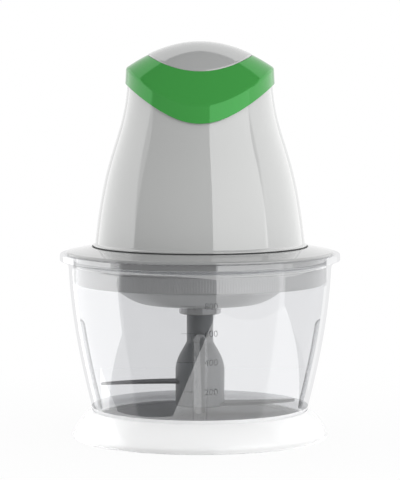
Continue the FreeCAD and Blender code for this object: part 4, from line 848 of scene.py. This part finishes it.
vent_turns = [90 + (number - (vent_count - 1) / 2) * vent_step_deg for number in range(vent_count)]
cut(bell, blocks("vent_slots", (14.0, 1.9, 12.0), (57.0, 0, bell_low + 16.0), vent_turns))
spot_place = (0, gland_face + 10.0, gland_z)
cut(bell, cylinder("spot_face", 9.0, 20.0, spot_place, 64, turn=(math.pi / 2, 0, 0)))
finished(smoothed(bell, 30), "motor_unit", "grey_plastic", grey_plastic, "motor_housing")

# Motor seal ring. A dark rubber ring fills the seam under the bell's bead, so that nothing that
# boils over the lid creeps into the motor unit.
seam_colour = (0.03, 0.031, 0.032, 1.0)
seam_back_r = 57.95
seam_r = 60.9
seam_edge_r = seam_r - 0.3
seam_low = 107.3
seam_under = seam_low + 0.02
seam_middle = seam_low + 0.4
seam_over = bell_low - 0.02

seam_rubber = rubber("seam_rubber", seam_colour, 0.45, 0.6)
seam_outline = [(seam_back_r, seam_under), (seam_edge_r, seam_under)]
seam_outline += rounded((seam_edge_r, seam_under), (seam_r, seam_low + 0.05), (seam_r, seam_middle), 3)
seam_outline += rounded((seam_r, seam_middle), (seam_r, seam_over), (seam_edge_r, seam_over), 3)
seam_outline += [(seam_back_r, seam_over)]
seam = smoothed(turned("seam_ring", seam_outline))
finished(seam, "motor_unit", "seam_rubber", seam_rubber, "motor_seal_ring")

# Cord gland. A soft rubber bush is pushed through the bell's back until its groove takes the wall.
# A collar covers the hole, and a short nose stands out round the bore.
cord_bore_r = 3.4
gland_groove_r = 5.7
gland_collar_r = 7.8
gland_outline = [(cord_bore_r, -9.0), (6.4, -8.6), (7.0, -7.1), (gland_groove_r, -7.1)]
gland_outline += [(gland_groove_r, 0.1), (7.5, 0.1)]
gland_outline += rounded((7.5, 0.1), (gland_collar_r, 0.1), (gland_collar_r, 0.4), 3)
gland_outline += rounded((gland_collar_r, 1.6), (gland_collar_r, 2.2), (7.0, 2.2), 4)
gland_outline += [(6.4, 2.3), (6.1, 2.7), (6.1, 3.1), (5.8, 3.4), (5.5, 3.6), (5.4, 4.0), (5.2, 4.6)]
gland_outline += rounded((5.2, 4.7), (5.0, 5.2), (4.5, 5.2), 3)
gland_outline += rounded((3.9, 5.2), (cord_bore_r, 5.2), (cord_bore_r, 4.7), 3)
gland = turned("cord_gland_moulding", gland_outline, sides=64)
gland.rotation_euler = (-math.pi / 2, 0, 0)
gland.location = (0, gland_face * mm, gland_z * mm)
picked(gland)
bpy.ops.object.transform_apply(location=True, rotation=True)
finished(smoothed(gland), "motor_unit", "pad_rubber", pad_rubber, "cord_gland")

# Press cap. The domed green moulding works the switch: the palm pushes the whole cap down two
# millimetres on its guide posts, and its skirt slides down round the bell's neck.
green_colour = (0.05, 0.285, 0.057, 1.0)
green_gloss_tint = (0.3, 1.0, 0.38, 1.0)
cap_top = 222.6
skirt_low = 214.2
cap_proud = 1.2
cap_r = bell_neck_r + cap_proud
cap_inner_r = bell_neck_r - 0.2
lip_inner_r = cap_r - 0.48
lip_top = skirt_low + 4.1
roof_under = cap_top - 2.4
rim_round = 1.0
disc_r = 29.3
disc_seat = cap_top - 1.7
hairline = 0.25
crown_edge = cap_r - rim_round
recess_r = disc_r + hairline


def top_round(radius, height, size):
    """A rounded top edge about a centre, from just above its side to its top."""
    turns = [math.radians(turn) for turn in (15, 30, 45, 60, 75, 90)]
    return [(radius + size * math.cos(turn), height + size * math.sin(turn)) for turn in turns]


green_plastic = plastic("green_plastic", green_colour, 0.02, 0.03, 1200.0, 0.01, 0.05, green_gloss_tint)
cap_outline = [(lip_inner_r, skirt_low), (cap_r - 0.12, skirt_low), (cap_r, skirt_low + 0.12)]
cap_outline += [(cap_r, skirt_low + 0.4 + 0.875 * step) for step in range(9)]
cap_outline += top_round(crown_edge, cap_top - rim_round, rim_round)
cap_outline += [(crown_edge + (recess_r - crown_edge) * step / 8, cap_top) for step in range(1, 8)]
cap_outline += [(recess_r + 0.12, cap_top), (recess_r, cap_top - 0.12), (recess_r, disc_seat)]
cap_outline += [(recess_r * step / 10, disc_seat) for step in range(9, -1, -1)]
cap_outline += [(3.0 * step, roof_under) for step in range(12)]
cap_outline += [(cap_inner_r, roof_under), (cap_inner_r, lip_top), (lip_inner_r, lip_top)]
cap = turned("press_cap_moulding", cap_outline)
for vertex in cap.data.vertices:
    turn = math.atan2(vertex.co.y, vertex.co.x)
    height = vertex.co.z / mm
    flat = math.hypot(vertex.co.x, vertex.co.y) / mm
    share = min(1.0, (height - skirt_low) / (cap_top - skirt_low))
    front = crown_front_low + (crown_front - crown_front_low) * share
    proud = max(flat, crown_edge) - bell_neck_r
    radius = bell_neck_r + proud
    for settle in range(9):
        x, y = radius * math.cos(turn), radius * math.sin(turn)
        z = height - crown_drop(x, y, front)
        radius = bell_radius(z) + proud
    if flat < crown_edge:
        inner = min(flat, recess_r)
        radius = inner + (flat - inner) / (crown_edge - recess_r) * (radius - recess_r)
        x, y = radius * math.cos(turn), radius * math.sin(turn)
        z = height - crown_drop(x, y, front)
    vertex.co = Vector((radius * math.cos(turn), radius * math.sin(turn), z)) * mm
finished(smoothed(cap, 40), "press_cap", "green_plastic", green_plastic, "press_cap")

# Cap disc. A glossy grey disc with the crown's own curve is pressed into the cap's recess and stands
# a little proud, with a hairline gap round it.
disc_colour = (0.385, 0.39, 0.388, 1.0)
disc_round = 0.6
disc_top = cap_top + 0.5
disc_low = disc_seat + 0.02

disc_plastic = plastic("disc_plastic", disc_colour, 0.02, 0.03, 1200.0, 0.01, 1.0)
disc_outline = [(0.0, disc_low), (disc_r * 0.5, disc_low), (disc_r, disc_low)]
disc_outline += [(disc_r, disc_top - disc_round)]
disc_outline += top_round(disc_r - disc_round, disc_top - disc_round, disc_round)
disc_outline += [((disc_r - disc_round) * step / 12, disc_top) for step in range(11, -1, -1)]
disc = turned("cap_disc_moulding", disc_outline, closed=False)
for vertex in disc.data.vertices:
    vertex.co.z -= crown_drop(vertex.co.x / mm, vertex.co.y / mm, crown_front) * mm
finished(smoothed(disc, 40), "press_cap", "disc_plastic", disc_plastic, "cap_disc")

# Studio. A white floor that keeps the shadow and a white surround, lit by a wide soft box on the
# right and two weaker ones further back. Two bright cards, one under the table and one behind the
# left box, are seen only in the gloss of the bowl and its base.
paper_colour = (0.8, 0.8, 0.8, 1.0)
white = (1.0, 1.0, 1.0, 1.0)
floor_size = 14.0
wall_depth = 0.28
wall_rise = -0.46


def looked_at(tree):
    """The kinds of ray, and those of a look that is straight or through clear plastic."""
    ray = tree.nodes.new("ShaderNodeLightPath").outputs
    return ray, worked(tree, "MAXIMUM", ray["Is Camera Ray"], ray["Is Transmission Ray"])


bpy.ops.object.select_all(action="DESELECT")
bpy.ops.mesh.primitive_plane_add(size=floor_size, location=(0, 0, -0.5 * mm))
floor = bpy.context.object
floor.name = "studio_floor"
bpy.ops.object.transform_apply(location=True)
floor_finish, tree, shader, place, output = blank_finish("studio_floor", {})
tree.nodes.remove(shader)
paper = added(tree, "ShaderNodeBsdfDiffuse", {"Color": paper_colour})
glow = tree.nodes.new("ShaderNodeEmission")
ray, seen = looked_at(tree)
mirrored = worked(tree, "MAXIMUM", seen, ray["Is Glossy Ray"])
span = tree.nodes.new("ShaderNodeVectorMath")
span.operation = "LENGTH"
wired(tree, span, {0: place})
fade = ranged(tree, span.outputs["Value"], 0.06, 0.3, 0.93, 1.0)
share = worked(tree, "MULTIPLY", mirrored, fade)
wired(tree, output, {"Surface": mixed(tree, share, paper.outputs["BSDF"], glow.outputs["Emission"])})
floor.data.materials.append(floor_finish)
floor.visible_glossy = False

world = bpy.data.worlds.new("studio")
bpy.context.scene.world = world
world.use_nodes = True
tree = world.node_tree
tree.nodes.clear()
soft = added(tree, "ShaderNodeBackground", {"Color": white, "Strength": 0.8}).outputs["Background"]
surround = added(tree, "ShaderNodeBackground", {"Color": white}).outputs["Background"]
place = tree.nodes.new("ShaderNodeTexCoord")
way = added(tree, "ShaderNodeSeparateXYZ", {"Vector": place.outputs["Generated"]}).outputs
backward = worked(tree, "MULTIPLY_ADD", worked(tree, "ABSOLUTE", way["X"]), wall_depth, way["Y"])
horizon = worked(tree, "MULTIPLY_ADD", worked(tree, "MAXIMUM", way["Z"], 0.0), wall_rise, backward)
wall = ranged(tree, horizon, -0.02, 0.03)
ceiling = ranged(tree, way["Z"], 0.3, 0.8, 0.36, 0.1)
front = ranged(tree, wall, to_min=ceiling)
room = added(tree, "ShaderNodeBackground", {"Color": white, "Strength": front}).outputs["Background"]
ray, seen = looked_at(tree)
gloss = mixed(tree, ray["Is Glossy Ray"], soft, room)
added(tree, "ShaderNodeOutputWorld", {"Surface": mixed(tree, seen, gloss, surround)})


def soft_box(name, place, turns, width, tall, level):
    """A soft box at a place, facing down until it's turned. Its level is its brightness in a mirror."""
    lamp = bpy.data.lights.new(name, "AREA")
    lamp.shape = "RECTANGLE"
    lamp.size = width
    lamp.size_y = tall
    lamp.energy = level * math.pi * width * tall
    box = bpy.data.objects.new(name, lamp)
    bpy.context.scene.collection.objects.link(box)
    box.location = place
    box.rotation_euler = [math.radians(turn) for turn in turns]
    return box


soft_box("right_box", (1.454, -1.209, 0.61), (90, 0, 38.5), 2.45, 2.32, 1.4)
soft_box("right_back_box", (1.722, 0.803, 0.61), (90, 0, 115), 2.66, 2.32, 0.4)
soft_box("left_box", (-1.749, 0.742, 0.43), (90, 0, -113), 2.86, 2.4, 0.45)
table_card = soft_box("table_card", (0.426, 0.147, -0.55), (180, 0, 38.5), 2.45, 3.4, 1.75)
left_card = soft_box("left_card", (-1.767, 0.75, 0.43), (90, 0, -113), 2.86, 2.4, 1.4)
mirrors = bpy.data.collections.new("card_mirrors")
for piece in (bowl, base, foot_ring):
    mirrors.objects.link(piece)
for card in (table_card, left_card):
    card.visible_transmission = False
    card.visible_camera = False
    card.light_linking.receiver_collection = mirrors

camera_place = Vector((0, -1.429, 0.224))
camera_aim = Vector((0, 0, 0.111))
lens_data = bpy.data.cameras.new("photo_camera")
lens_data.lens = 190.3
lens_data.sensor_width = 36.0
lens_data.clip_end = 50.0
camera = bpy.data.objects.new("photo_camera", lens_data)
bpy.context.scene.collection.objects.link(camera)
camera.location = camera_place
camera.rotation_euler = (camera_aim - camera_place).to_track_quat("-Z", "Y").to_euler()
bpy.context.scene.camera = camera
bpy.context.scene.view_settings.view_transform = "Standard"
